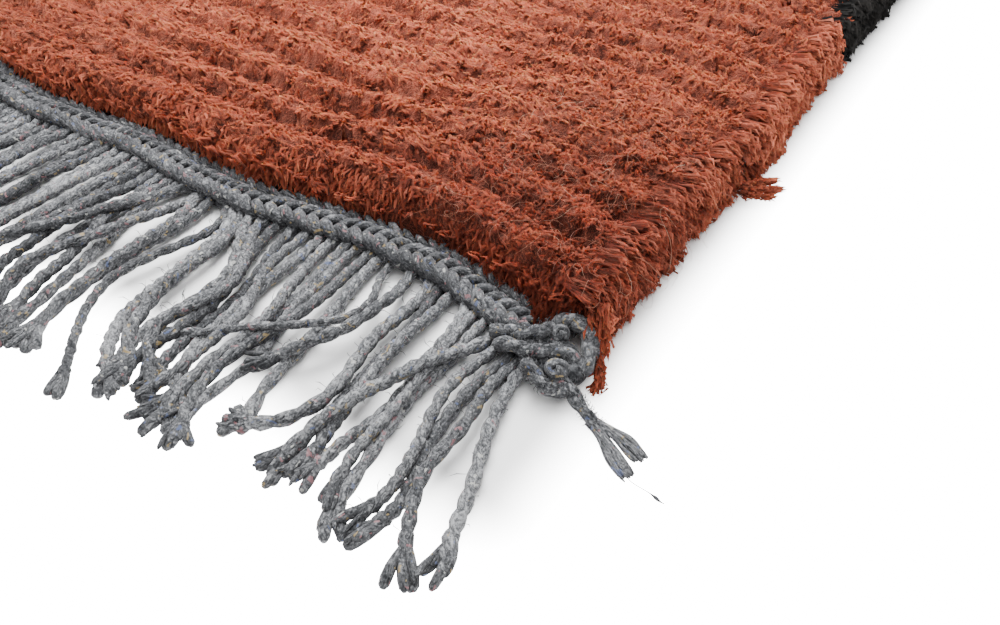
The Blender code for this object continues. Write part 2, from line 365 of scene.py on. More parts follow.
RUST_ROOT = (0.016, 0.003, 0.002)
RUST_DEEP = (0.070, 0.012, 0.006)
RUST_MIDDLE = (0.160, 0.027, 0.0125)
RUST_TIP = (0.270, 0.054, 0.027)
BLACK_ROOT = (0.002, 0.002, 0.002)
BLACK_TIP = (0.020, 0.018, 0.016)
RUST_SHEEN = (0.92, 0.27, 0.16)
GRAIN_SCALE = 620.0
GRAIN_RELIEF = 0.0016


def make_pile_wool(name, sheen, depth, stops, grain=0.0):
    """Pile wool: coloured root to tip by depth, darker towards the root as painted shade, lighter or darker
    by tuft, streaked by fibres.

    Grain breaks up a form that has no wisps of its own into small clots of wool.
    """
    material, tree, shader = new_wool(name, sheen, RUST_SHEEN, depth)
    fibres = add_fibres(tree, shader, 5.0, 260.0, 0.6, 0.4, 0.0006)
    numbers = wool_numbers(tree)
    shades = [(numbers["Red"], 1.0), (fibres["Streak"], 0.25), (fibres["Patch"], 0.40)]
    if grain:
        clots = object_noise(tree, GRAIN_SCALE, 3.0, Roughness=0.6, Distortion=0.8)
        add_relief(tree, shader, clots, 1.0, GRAIN_RELIEF)
        shades.append((clots, grain))
    level = numbers["Green"]
    for value, amount in shades:
        level = maths(tree, "ADD", level, centred(tree, value, amount))
    tree.links.new(ramp(tree, level, stops), shader.inputs["Base Color"])
    return material


GREY_DARK = (0.016, 0.017, 0.019)
GREY_MIDDLE = (0.080, 0.082, 0.087)
GREY_LIGHT = (0.320, 0.325, 0.335)
FLECKS = (
    # place in the noise that picks a colour, colour
    (0.36, (0.09, 0.12, 0.24)),
    (0.44, (0.36, 0.26, 0.11)),
    (0.56, (0.30, 0.13, 0.14)),
    (0.64, (0.50, 0.50, 0.47)),
)
FLECK_WIDTH = 0.022
FLECK_SHARE = 0.62
FLECK_STRENGTH = 0.55


def make_grey_yarn(name, middle_shift):
    """Grey recycled wool: light and dark fibres spun together, with odd coloured flecks."""
    material, tree, shader = new_wool(name, 0.15, (0.8, 0.8, 0.82))
    fibres = add_fibres(tree, shader, 7.0, 380.0, 1.5, 1.0, 0.0007)
    streaks = centred(tree, fibres["Streak"], 1.7)
    specks = centred(tree, object_noise(tree, 1250.0, 2.0, Roughness=0.7), 1.1)
    tones = centred(tree, wool_numbers(tree)["Red"], 0.36)
    patches = centred(tree, fibres["Patch"], 0.5)
    level = maths(tree, "ADD", maths(tree, "ADD", streaks, specks), maths(tree, "ADD", tones, patches))
    level = maths(tree, "ADD", level, 0.5 + middle_shift, clamp=True)
    colour = ramp(tree, level, ((0.08, GREY_DARK), (0.5, GREY_MIDDLE), (0.95, GREY_LIGHT)))
    spot = maths(tree, "GREATER_THAN", object_noise(tree, 430.0, 1.0), FLECK_SHARE)
    spot = maths(tree, "MULTIPLY", spot, FLECK_STRENGTH)
    kind = object_noise(tree, 110.0, 0.0)
    for centre, fleck in FLECKS:
        distance = maths(tree, "ABSOLUTE", maths(tree, "SUBTRACT", kind, centre))
        near = maths(tree, "LESS_THAN", distance, FLECK_WIDTH)
        colour = mix_colour(tree, maths(tree, "MULTIPLY", near, spot), colour, fleck)
    tree.links.new(colour, shader.inputs["Base Color"])
    return material


RUST_DEPTH = 0.0022
BODY_GRAIN = 0.9
RUST_STOPS = ((0.0, RUST_ROOT), (0.42, RUST_DEEP), (0.76, RUST_MIDDLE), (1.0, RUST_TIP))
BLACK_STOPS = ((0.2, BLACK_ROOT), (1.0, BLACK_TIP))
pile_wool = make_pile_wool("rust_wool", 0.60, RUST_DEPTH, RUST_STOPS)
body_wool = make_pile_wool("rust_wool_body", 0.60, RUST_DEPTH, RUST_STOPS, BODY_GRAIN)
black_wool = make_pile_wool("black_wool", 0.0, 0.0, BLACK_STOPS)
black_body_wool = make_pile_wool("black_wool_body", 0.0, 0.0, BLACK_STOPS, BODY_GRAIN)
grey_yarn = make_grey_yarn("grey_yarn_wool", -0.03)
braid_yarn = make_grey_yarn("grey_braid_wool", -0.14)
print("materials:", [m.name for m in (pile_wool, black_wool, grey_yarn, braid_yarn)])

# %% [markdown]
# The camera stands close to the corner. In the photograph the even rows and the two edges of the
# rug meet the horizon in two points, which give its height above the floor, its tilt and its lens.
# It is made first, so that each piece can be looked at as soon as it is there.

# %% Camera at the photograph's viewing angle
CORNER = np.array([HALF_WIDTH, -HALF_LENGTH, 0.0])
CAMERA_HEIGHT = 0.190
CAMERA_ASIDE = 0.413 * CAMERA_HEIGHT
CAMERA_BACK = 0.887 * CAMERA_HEIGHT
CAMERA_TURN = math.radians(35.0)
CAMERA_TILT = math.radians(43.3)
SENSOR_WIDTH = 36.0
IMAGE_WIDTH = 1000.0
FOCAL_PIXELS = 809.0

camera_data = bpy.data.cameras.new("camera")
camera_data.sensor_width = SENSOR_WIDTH
camera_data.lens = SENSOR_WIDTH * FOCAL_PIXELS / IMAGE_WIDTH
camera_data.clip_start = 0.01
camera = put_in_scene("camera", camera_data)
camera.location = (CORNER[0] + CAMERA_ASIDE, CORNER[1] - CAMERA_BACK, CAMERA_HEIGHT)
camera.rotation_euler = (QUARTER_TURN - CAMERA_TILT, 0.0, CAMERA_TURN)
bpy.context.scene.camera = camera
print("camera at", [round(v, 3) for v in camera.location], "lens", round(camera_data.lens, 1))

# %% [markdown]
# This is a studio shot: a pale floor that burns out to white, and broad light from above and
# behind, so the pile glows on top and its end, facing us, is darker. A large soft lamp behind and a
# bright plain world give the light, with soft shadows under the cords. The floor's white is
# painted glow: the floor glows though it is no lamp, from nothing round the rug and its fringe to
# full strength a few centimetres out, and mostly towards the camera.

# %% Floor and light
FLOOR_GLOW = 25.0
GLOW_REACH = 0.036
GLOW_BOUNCE = 0.08
FRINGE_REACH = 0.065
FLOOR_REACH = 6.0
SKY_STRENGTH = 0.82


def add_floor():
    """A plain pale floor under the rug, burnt out to white past the pile and the fringe by painted glow.

    The glow grows with the distance from a rectangle round the rug. What the floor throws back on
    the rug is only a part of the glow, since the photograph's white is its exposure and no lamp.
    """
    mesh = bpy.data.meshes.new("floor")
    signs = ((-1, -1), (1, -1), (1, 1), (-1, 1))
    mesh.from_pydata([(FLOOR_REACH * x, FLOOR_REACH * y, 0.0) for x, y in signs], [], [(0, 1, 2, 3)])
    floor = put_in_scene("floor", mesh)
    material, tree, shader = new_material("floor_white_painted_glow", Base_Color=(0.92, 0.92, 0.92, 1.0), Roughness=0.8,
                                          Emission_Color=(1.0, 1.0, 1.0, 1.0))
    place = add_node(tree, "ShaderNodeTexCoord")
    folded = add_node(tree, "ShaderNodeVectorMath", {"operation": "ABSOLUTE"}, i0=place.outputs["Object"])
    outside = add_node(tree, "ShaderNodeVectorMath", {"operation": "SUBTRACT"}, i0=folded.outputs[0])
    outside.inputs[1].default_value = (HALF_WIDTH, HALF_LENGTH + FRINGE_REACH, 0.0)
    beyond = add_node(tree, "ShaderNodeVectorMath", {"operation": "MAXIMUM"}, i0=outside.outputs[0])
    away = add_node(tree, "ShaderNodeVectorMath", {"operation": "LENGTH"}, i0=beyond.outputs[0])
    # painted glow: from nothing round the rug to FLOOR_GLOW a little further out, all of it seen by the
    # camera and only GLOW_BOUNCE of it thrown onto the rug
    glow = add_node(tree, "ShaderNodeMapRange", {"interpolation_type": "SMOOTHSTEP"},
                    Value=away.outputs["Value"], From_Min=0.0, From_Max=GLOW_REACH, To_Max=FLOOR_GLOW)
    rays = add_node(tree, "ShaderNodeLightPath")
    seen = maths(tree, "MAXIMUM", rays.outputs["Is Camera Ray"], GLOW_BOUNCE)
    tree.links.new(maths(tree, "MULTIPLY", glow.outputs["Result"], seen), shader.inputs["Emission Strength"])
    mesh.materials.append(material)


def add_lamp(name, place, aim, width, power):
    """A square soft lamp at a place, facing an aim."""
    data = bpy.data.lights.new(name, "AREA")
    data.size = width
    data.energy = power
    lamp = put_in_scene(name, data)
    lamp.location = place
    away = np.array(aim, float) - np.array(place, float)
    flat = math.hypot(away[0], away[1])
    lamp.rotation_euler = (math.atan2(flat, -away[2]), 0.0, math.atan2(away[1], away[0]) - QUARTER_TURN)


add_floor()
add_lamp("lamp_behind", (-0.9, 1.4, 1.9), (0.0, 0.0, 0.0), 1.4, 88.0)
add_lamp("lamp_above", (0.4, -0.6, 2.2), (0.2, -0.3, 0.0), 1.6, 30.0)
add_lamp("lamp_over_pile", (0.10, -0.29, 0.34), (0.12, -0.32, 0.0), 0.25, 4.0)
world = bpy.data.worlds.new("studio")
world.use_nodes = True
sky = world.node_tree.nodes["Background"]
sky.inputs["Color"].default_value = (1.0, 1.0, 1.0, 1.0)
sky.inputs["Strength"].default_value = SKY_STRENGTH
bpy.context.scene.world = world

# %% [markdown]
# Each knot of the pile is a loop of wool tied round the warp, with its ends cut off above. Knots
# stand in rows along X, and several plain picks part two rows, so the wool shows soft ridges. The
# ends have no two alike: they lean, part and gather. Smooth random fields give us that evenness
# and unevenness, and a grid of cells gives each lock of wool its own lean, height and tone.

# %% Random fields and the cells of the locks
ROWS = 41
RIDGE_PITCH = FIELD_LENGTH / ROWS
LOCK_WIDTH = 0.0040
LOCKS_PER_RIDGE = 5
rng = np.random.default_rng(11)


def field(x, y, scale, seed):
    """Smooth random heights: a random value at each whole step of scale, blended between steps."""
    cells = 128
    values = np.random.default_rng(seed).normal(size=(cells, cells))
    across, along = np.asarray(x) / scale, np.asarray(y) / scale
    column, row = np.floor(across).astype(int), np.floor(along).astype(int)
    u, v = across - column, along - row
    u, v = u * u * (3.0 - 2.0 * u), v * v * (3.0 - 2.0 * v)
    left, right = column % cells, (column + 1) % cells
    low, high = (values[line % cells, left] * (1.0 - u) + values[line % cells, right] * u
                 for line in (row, row + 1))
    return low * (1.0 - v) + high * v


def ridge_place(x, y):
    """Rows counted from the near end: whole numbers are the furrows between two ridges."""
    edge_near, edge_far = near_end(x), far_end(x)
    return ROWS * (y - edge_near) / (edge_far - edge_near) + 0.10 * field(x, y, 0.045, 3)


def lock_cells(x, y):
    """For each point: its lock's centre, and four random numbers that its lock shares."""
    row = LOCKS_PER_RIDGE * ridge_place(x, y) + 0.35 * field(x, y, 0.012, 5)
    line = np.floor(row).astype(int)
    column = x / LOCK_WIDTH + 0.5 * (line % 2) + 0.35 * field(x, y, 0.012, 6)
    place = np.floor(column).astype(int)
    shared = np.random.default_rng(8).random((256, 256, 4))[line % 256, place % 256]
    centre_x = x + (place + 0.3 + 0.4 * shared[..., 0] - column) * LOCK_WIDTH
    centre_y = y + (line + 0.25 + 0.4 * shared[..., 1] - row) * RIDGE_PITCH / LOCKS_PER_RIDGE
    return centre_x, centre_y, shared


BLACK_HALF_LENGTH = 0.208
BLACK_EDGE = 0.001
BLACK_SLOPE = 0.38


def black_share(x, y):
    """1 where the wool is black: a low figure at the middle of each long side."""
    inward = HALF_WIDTH - np.abs(x)
    left = BLACK_HALF_LENGTH - np.abs(y)
    return ((left > 0.0) & (inward < BLACK_EDGE + BLACK_SLOPE * left)).astype(float)


CORNER_DISTANCE = 0.264
FALL_OFF = 0.583
VIEW_DEPTH = 0.47
FAR_DETAIL = 0.060


def detail(x, y):
    """How many wisps a place needs: 1 at the corner, then by the camera's distance squared."""
    inward = (HALF_WIDTH - x) + 1.08 * (y + HALF_LENGTH)
    seen = (CORNER_DISTANCE / (CORNER_DISTANCE + FALL_OFF * inward)) ** 2
    out_of_view = ease(VIEW_DEPTH, VIEW_DEPTH + 0.05, inward)
    return seen * (1.0 - out_of_view) + FAR_DETAIL * out_of_view


print("locks about", round(1000 * LOCK_WIDTH, 1), "by", round(1000 * RIDGE_PITCH / LOCKS_PER_RIDGE, 1), "mm")

# %% [markdown]
# A lock is a bundle of fine fibres. One wisp of them is the smallest closed form there is: a point
# at its root, a ring of three points where it bends and a point at its tip, which makes six
# triangles. Near the camera wisps are thin and many, and far from it they are wide and few.

# %% Wisps of wool
WISP_NEAR = 0.00050
STEP_NEAR = 0.00100
BEND_DEPTH = 0.79
SOFTNESS = 0.90
FLOOR_GAP = 0.0003


def wisps(root, bend, tip, width, tone, black, facing=(0.0, 0.0, 1.0)):
    """Closed spindles: root point, three points at width about bend, tip point.

    Each point's normal is mostly facing, the direction that the tuft's own soft surface has
    there, so that light runs evenly over a tuft; the ring adds a little of the wisp's roundness.
    """
    count = len(root)
    facing = np.broadcast_to(facing, (count, 3))[:, None]
    forward = unit(tip - root)
    aside = unit(np.cross(forward, unit(rng.normal(size=(count, 3)))))
    other = np.cross(aside, forward)
    angle = FULL_TURN * np.arange(3) / 3
    ring = np.cos(angle)[:, None] * aside[:, None, :] + np.sin(angle)[:, None] * other[:, None, :]
    points = np.concatenate([root[:, None], bend[:, None] + width[:, None, None] * ring, tip[:, None]], 1)
    points[..., 2] = np.maximum(points[..., 2], FLOOR_GAP)
    normals = unit(np.concatenate([facing, SOFTNESS * facing + (1.0 - SOFTNESS) * ring, facing], 1))
    first = 5 * np.arange(count)[:, None] + np.zeros((1, 3), int)
    side = np.arange(3)
    after = (side + 1) % 3
    low = np.stack([first, first + 1 + side, first + 1 + after], -1)
    high = np.stack([first + 4, first + 1 + after, first + 1 + side], -1)
    length = np.linalg.norm(tip - root, axis=1)[:, None]
    start = (0.0137 * np.arange(count))[:, None] + np.zeros((1, 3))
    half, end = start + 0.6 * length, start + length
    here, there = np.broadcast_to(side / 3, half.shape), np.broadcast_to((side + 1) / 3, half.shape)
    middle = 0.5 * (here + there)
    low_uv = np.stack([middle, start, here, half, there, half], -1)
    high_uv = np.stack([middle, end, there, half, here, half], -1)
    tags = np.ones((count, 5, 4))
    tags[..., 0] = tone[:, None]
    # the second number darkens the wisp towards its root in the pile's ramp: painted shade in the depth of
    # the pile
    tags[..., 1] = np.array([0.0, BEND_DEPTH, BEND_DEPTH, BEND_DEPTH, 1.0])
    tags[..., 2] = black[:, None]
    faces = np.stack([low, high], 1).reshape(-1, 3)
    uvs = np.stack([low_uv, high_uv], 1).reshape(-1, 3, 2)
    return points.reshape(-1, 3), faces, uvs, tags.reshape(-1, 4), normals.reshape(-1, 3)


def thinned(x, y):
    """Keep all points near the camera and fewer far from it; also gives each wisp's width."""
    share = detail(x, y)
    keep = rng.random(len(x)) < share
    width = WISP_NEAR / np.sqrt(share[keep]) * rng.uniform(0.7, 1.3, int(keep.sum()))
    return x[keep], y[keep], width


# %% Wool on top of the pile
TUFT_TOP = 0.0246
FURROW = 0.0052
FURROW_PLACE = 0.09
LEAN = 0.0042
RIM = 0.014
CURL = 0.0010
GATHER = 0.45
LOCK_RISE = 0.0022
LOCK_ROUND = 0.0011
MARGIN = 0.090
TOP_TONE = 0.485
ROOT_DEPTH = 0.0120
WEAVE_TOP = 0.0036


def roll(x, y):
    """Height share and facing of a row: a steep front, a round top, a long slope to the next front."""
    place = ridge_place(x, y) - FURROW_PLACE
    behind = place - np.floor(place)
    height = ease(0.0, 0.26, behind) * (1.0 - ease(0.34, 1.0, behind))
    slope = 0.45 * ease(0.35, 0.65, behind) * (1.0 - ease(0.8, 1.0, behind))
    lean = 0.9 * (1.0 - ease(0.0, 0.30, behind)) - slope
    depth = np.clip(0.85 + 0.45 * field(x, y, 0.050, 9), 0.3, 1.4)
    return 1.0 - depth * (1.0 - height), depth * lean


def edge_painted_shade(x, y):
    """How much darker the wool is painted at the rug's ends, corners and sides: painted shade for the dimmer
    light there.
    """
    inside = np.minimum(y - near_end(x), far_end(x) - y)
    margin = 1.0 - ease(0.0, MARGIN, inside)
    corner = 1.0 - ease(0.02, 0.15, np.hypot(HALF_WIDTH - np.abs(x), inside))
    side = 1.0 - ease(0.0, 0.22, HALF_WIDTH - np.abs(x))
    return 0.24 * margin + 0.26 * corner + 0.17 * side


def tuft_shape(x, y):
    """What wool rooted at (x, y) does: tip place and height, offset in its lock, facing and tone.

    The tips are drawn towards their lock's centre, follow the rolled rows and lean to the near
    end. Within a lock they sink with the square of the distance from its centre, and slow fields
    make them rise, turn and lighten. Furrows, the outsides of locks and the rug's ends, corners and
    sides are painted darker: painted shade.
    """
    crisp = 0.45 + 0.55 * np.sqrt(detail(x, y))
    centre_x, centre_y, shared = lock_cells(x, y)
    off_x, off_y = (x - centre_x) / (0.5 * LOCK_WIDTH), (y - centre_y) / (0.5 * LOCK_WIDTH)
    away = np.clip(np.hypot(off_x, off_y), 0.0, 1.7)
    turn = 0.4 * field(x, y, 0.024, 14) + 0.5 * field(x, y, 0.008, 16) + 1.7 * (shared[..., 3] - 0.5)
    lean = LEAN * (0.4 + 1.1 * shared[..., 1])
    side = np.sign(x)
    rim = 1.0 - ease(0.0, RIM, HALF_WIDTH - 0.004 - np.abs(x))
    front = 1.0 - ease(0.0, 0.012, y - near_end(x))
    rear = 1.0 - ease(0.0, 0.012, far_end(x) - y)
    aside = lean * np.sin(turn) * (1.0 - 0.4 * rim) + side * 0.0050 * rim
    back = -lean * np.cos(turn) * (1.0 - 0.5 * rim) - 0.0010 * front + 0.0100 * rear
    tip_x = x + GATHER * (centre_x - x) + aside
    tip_y = y + GATHER * (centre_y - y) + back
    height, slope = roll(tip_x, tip_y)
    top = TUFT_TOP - FURROW * (1.0 - height) + crisp * LOCK_RISE * (shared[..., 2] - 0.6)
    top -= LOCK_ROUND * away ** 2
    top += 0.0010 * crisp * field(x, y, 0.009, 15) + 0.0005 * field(x, y, 0.020, 12)
    top = top - 0.0045 * rim ** 1.5 - 0.0035 * front ** 2 - 0.0040 * rear ** 2
    up = np.ones_like(x)
    facing = unit(np.stack([0.45 * off_x + 1.2 * rim * side, 0.45 * off_y - slope - 0.8 * front, up], -1))
    tone = TOP_TONE + 0.18 * crisp * (shared[..., 0] - 0.5) + 0.07 * crisp * field(x, y, 0.009, 17)
    # painted shade: darker in the furrows, at the outsides of locks, and at the rug's ends, corners and sides
    tone -= 0.18 * (1.0 - height) + 0.11 * crisp * (away - 0.5) + edge_painted_shade(x, y)
    return np.stack([tip_x, tip_y, top], -1), away, facing, tone


def top_wool():
    """Wisps over the whole field: roots on a shaken grid, each tip near where its tuft puts it."""
    columns, rows = int(0.584 / STEP_NEAR), int(FIELD_LENGTH / STEP_NEAR)
    grid_x, grid_s = np.meshgrid(np.arange(columns), np.arange(rows))
    x = -0.292 + (grid_x.reshape(-1) + rng.random(columns * rows)) * STEP_NEAR
    share = (grid_s.reshape(-1) + rng.random(columns * rows)) / rows
    y = near_end(x) + 0.001 + (far_end(x) - near_end(x) - 0.002) * share
    x, y, width = thinned(x, y)
    count = len(x)
    tip, away, facing, tone = tuft_shape(x, y)
    tip = tip + np.array([0.0006, 0.0006, 0.0003]) * rng.normal(size=(count, 3))
    root = np.stack([x, y, np.maximum(tip[:, 2] - ROOT_DEPTH, WEAVE_TOP)], 1)
    bend = root + np.array([0.58, 0.58, 0.86]) * (tip - root)
    bend += CURL * rng.normal(size=(count, 3)) * np.array([1.0, 1.0, 0.4])
    tone = tone + 0.022 * rng.normal(size=count)
    return wisps(root, bend, tip, width, np.clip(tone, 0.0, 1.0), black_share(x, y), facing)


tufts = top_wool()
print("top wool:", len(tufts[0]) // 5, "wisps")

# %% [markdown]
# At the rim the wool has nothing to lean on, so it hangs down over the edge of the weave to the
# floor, or over the twined row. We comb wisps down a rounded rim: each starts just inside it and
# ends a little lower and further out. Every ridge ends in a thicker lock that stands out.

# %% Wool that hangs at the rim
RIM_RUN = 0.034
RIM_REACH = 0.0120
RIM_HEIGHT = 0.0222
END_RUN = 0.022
SIDE_TONE = 0.50
END_TONE = 0.65


def rim_profile(share):
    """Reach outward and height on the rounded rim: share 0 at its top and 1 at its foot."""
    angle = QUARTER_TURN * np.clip(share, 0.0, 1.0)
    out = RIM_REACH * np.sin(angle) ** 0.65 - 0.0010 * ease(0.55, 1.0, share)
    return out, RIM_HEIGHT * np.cos(angle) + 0.0004


NOTCH_PLACE = 0.109
NOTCH_WIDTH = 0.0030
BULGE_PLACE = 0.132
BULGE_WIDTH = 0.028
BULGE = 0.0048


def side_wool(side):
    """Wisps down one long side, in locks as on top, with one notch; side is +1 or -1."""
    tries = int(FIELD_LENGTH * RIM_RUN / STEP_NEAR ** 2)
    y = -HALF_LENGTH + 0.001 + (FIELD_LENGTH - 0.002) * rng.random(tries)
    x, y, width = thinned(np.full(tries, side * HALF_WIDTH), y)
    count = len(y)
    share = rng.random(count)
    down = RIM_RUN * share
    centre_down, centre_y, shared = lock_cells(down, y)
    off_down, off_y = (down - centre_down) / (0.5 * LOCK_WIDTH), (y - centre_y) / (0.5 * LOCK_WIDTH)
    away = np.clip(np.hypot(off_down, off_y), 0.0, 1.6)
    notch = np.exp(-((side * y + HALF_LENGTH - NOTCH_PLACE) / NOTCH_WIDTH) ** 2)
    bulge = BULGE * np.exp(-((side * y + HALF_LENGTH - BULGE_PLACE) / BULGE_WIDTH) ** 2)
    clump = field(down, y, 0.008, 21)
    row_end = np.cos(FULL_TURN * (side * ridge_place(x, y) - 0.5)) + 0.6 * field(down, y, 0.014, 23)
    lock = bulge + 0.0016 + 0.0009 * row_end + 0.0008 * clump + 0.0014 * (shared[:, 2] - 0.5)
    lock -= 0.0006 * away ** 2 + 0.0045 * notch
    out0, z0 = rim_profile(share)
    out1, z1 = rim_profile(share + 0.08 + 0.22 * shared[:, 1] + 0.12 * rng.random(count))
    base = HALF_WIDTH - 0.0125
    drift = 0.45 * (centre_y - y) + 0.006 * (shared[:, 3] - 0.5) + 0.0015 * field(down, y, 0.012, 22)
    root = np.stack([side * (base + out0 - 0.0065 + lock), y, np.maximum(z0 - 0.002, 0.0007)], 1)
    tip_out = base + out1 + lock + rng.normal(0.0004, 0.0009, count)
    tip_z = np.maximum(z1 + rng.normal(0.0, 0.0007, count), 0.0007)
    tip = np.stack([side * tip_out, y + drift + rng.normal(0.0, 0.0009, count), tip_z], 1)
    bend = 0.28 * root + 0.72 * tip
    bend[:, 0] += side * 0.0010
    bend += CURL * rng.normal(size=(count, 3))
    bend[:, 2] = np.maximum(bend[:, 2] + 0.0010, 0.0012)
    angle = QUARTER_TURN * share
    facing = unit(np.stack([side * (0.25 + np.sin(angle)), 0.5 * off_y, np.cos(angle) - 0.4 * off_down], 1))
    # painted light and shade: darker towards the foot of the rim, at the outsides of locks, in the notch and
    # at the rug's edges, and lighter where the row ends stand out
    tone = SIDE_TONE - 0.09 * share + 0.19 * (shared[:, 0] - 0.5) + 0.045 * clump
    tone += 0.03 * rng.normal(size=count)
    tone += 0.055 * row_end - 0.09 * (away - 0.5) - 0.22 * notch - edge_painted_shade(x, y)
    black = black_share(side * (HALF_WIDTH - 0.001) * np.ones(count), y)
    return wisps(root, bend, tip, width, np.clip(tone, 0.0, 1.0), black, facing)


RIM_FLAPS = (
    # in from the side, half width, how much further out the wool hangs
    (0.0200, 0.0060, 0.0075),
    (0.0000, 0.0060, 0.0050),
    (0.0450, 0.0150, 0.0015),
)
TWINE_TOP = 0.0072


def end_wool(side):
    """Wisps down one end, over the twined row; side is -1 for the near end, +1 for the far end."""
    tries = int(FIELD_WIDTH * END_RUN / STEP_NEAR ** 2)
    x = -HALF_WIDTH + 0.003 + (FIELD_WIDTH - 0.006) * rng.random(tries)
    x, y, width = thinned(x, np.full(tries, side * HALF_LENGTH))
    count = len(x)
    edge = near_end(x) if side < 0 else far_end(x)
    share = rng.random(count)
    wave = 0.0011 * field(x, share, 0.0065, 31) + 0.0007 * field(x, 10.0 * share, 0.0030, 32)
    inward = HALF_WIDTH + side * x
    flap = sum(size * np.exp(-((inward - place) / width_of) ** 2) for place, width_of, size in RIM_FLAPS)
    out0 = -0.0065 + 0.0060 * np.sin(QUARTER_TURN * share) + flap * share
    z0 = RIM_HEIGHT - 0.0125 * share
    drift = 0.0030 * field(x, share, 0.012, 33) + rng.normal(0.0, 0.0012, count)
    root = np.stack([x, edge + side * (out0 - 0.0045 + wave), z0 - 0.001], 1)
    tip_out = out0 + 0.0020 + wave + rng.normal(0.0, 0.0006, count)
    tip_z = np.maximum(z0 - 0.0050 + rng.normal(0.0, 0.001, count), TWINE_TOP)
    tip = np.stack([x + drift, edge + side * tip_out, tip_z], 1)
    bend = 0.45 * root + 0.55 * tip
    bend[:, 1] += side * 0.0010
    bend[:, 2] += 0.0012
    bend += CURL * rng.normal(size=(count, 3))
    # painted shade: darker at the rug's ends, corners and sides
    tone = END_TONE + 0.10 * field(x, share, 0.006, 34) + 0.045 * rng.normal(size=count) - edge_painted_shade(x, edge)
    facing = unit(np.stack([0.4 * field(x, share, 0.004, 35), side * (0.5 + share), 1.1 - share], 1))
    return wisps(root, bend, tip, width, np.clip(tone, 0.0, 1.0), np.zeros(count), facing)


def join_wisps(blocks):
    """Several sets of wisps as one."""
    shift = np.cumsum([0] + [len(block[0]) for block in blocks])
    moved = [(block[0], block[1] + move, *block[2:]) for block, move in zip(blocks, shift)]
    return tuple(np.concatenate(arrays) for arrays in zip(*moved))


def pick(block, chosen):
    """The chosen wisps of a set, as a smaller set."""
    points, faces, uvs, tags, normals = block
    keep, keep_faces = np.repeat(chosen, 5), np.repeat(chosen, 6)
    number = np.cumsum(keep) - 1
    return points[keep], number[faces[keep_faces]], uvs[keep_faces], tags[keep], normals[keep]


rims = join_wisps([side_wool(1), side_wool(-1), end_wool(-1), end_wool(1)])
print("rim wool:", len(rims[0]) // 5, "wisps")

# %% [markdown]
# Between the wisps we see the tufts themselves, soft and full. They are one closed form just below
# the wisps' tips: a net of points is laid on the field, fine at the corner and wide far from it,
# and each point moves to where the wool rooted there ends, a little lower. Sides and base close it.

# %% The full tufts under the wisps
NET_FIRST = 0.0010
BODY_HALF_WIDTH = 0.2880
BODY_BASE_HALF_WIDTH = 0.2940
BODY_BASE = 0.0008
BODY_INSET = 0.0055
BASE_TONE = 0.3
UV_ACROSS = 570.0
UV_ALONG = 1.28
NET_EASE = 0.12
BODY_DEPTH = 0.0016
BODY_DRAW = 0.85


def net_lines(reach):
    """Distances from the corner, 0 to reach, whose spacing grows evenly with the distance."""
    growth = NET_FIRST / NET_EASE
    count = int(math.log(1.0 + reach / NET_EASE) / growth)
    return reach * np.expm1(growth * np.arange(count + 1)) / math.expm1(growth * count)


def pile_body():
    """The tufts' closed form: a net above, one long face for each row below, walls and two caps."""
    across_x = BODY_HALF_WIDTH - net_lines(2.0 * BODY_HALF_WIDTH)[::-1]
    share = net_lines(FIELD_LENGTH) / FIELD_LENGTH
    columns, rows = len(across_x), len(share)
    x = np.broadcast_to(across_x, (rows, columns))
    edge_near, edge_far = near_end(x) + BODY_INSET, far_end(x) - BODY_INSET
    y = edge_near + (edge_far - edge_near) * share[:, None]
    tip, away, facing, tone = tuft_shape(x, y)
    root = np.stack([x, y, tip[..., 2]], -1)
    sunk = BODY_DEPTH * (0.25 + 0.85 * np.sqrt(detail(x, y))) + 0.0012 * np.clip(away - 0.6, 0.0, 1.0)
    top = root + BODY_DRAW * (tip - root) - sunk[..., None] * np.array([0.0, 0.0, 1.0])
    base_x = np.broadcast_to([-BODY_BASE_HALF_WIDTH, BODY_BASE_HALF_WIDTH], (rows, 2))
    base = np.stack([base_x, y[:, [0, -1]], np.full((rows, 2), BODY_BASE)], -1)
    points = np.concatenate([top.reshape(-1, 3), base.reshape(-1, 3)])
    net = np.arange(rows * columns).reshape(rows, columns)
    low = rows * columns + np.arange(2 * rows).reshape(rows, 2)
    left = grid_faces(np.stack([net[:, 0], low[:, 0]]))
    right = grid_faces(np.stack([net[:, -1], low[:, 1]], -1))
    near_cap = np.concatenate([low[0], net[0, ::-1]])[None]
    far_cap = np.concatenate([low[-1, ::-1], net[-1]])[None]
    faces = [grid_faces(net), np.concatenate([grid_faces(low.T), left, right]), near_cap, far_cap]
    # painted shade: the body's colour stands below the tips' (0.74 of the way from root to tip) and falls at
    # the outsides of the locks, and the base is set to the darkest colour, so the side walls darken towards
    # the floor
    tags = np.ones((len(points), 4))
    tags[:, 0] = np.concatenate([tone.reshape(-1), np.full(2 * rows, BASE_TONE)])
    depth = 0.74 - 0.60 * np.clip(away - 0.5, 0.0, 1.0)
    tags[:, 1] = np.concatenate([depth.reshape(-1), np.zeros(2 * rows)])
    flat = np.stack([UV_ACROSS * x, UV_ALONG * y], -1).reshape(-1, 2)
    place = np.concatenate([flat, np.zeros((2 * rows, 2))])
    return points, faces, [place[block] for block in faces], np.clip(tags, 0.0, 1.0)


body = pile_body()
print("pile body:", len(body[0]), "points")

# %% Place the pile
PILE_PARTS = 4
BODY_TO_RIM = 1.015


def add_wisps(name, block, material):
    """Add a set of wisps as one piece."""
    points, faces, uvs, tags, normals = block
    return add_piece(name, points, [faces], [uvs], material, tags, normals)


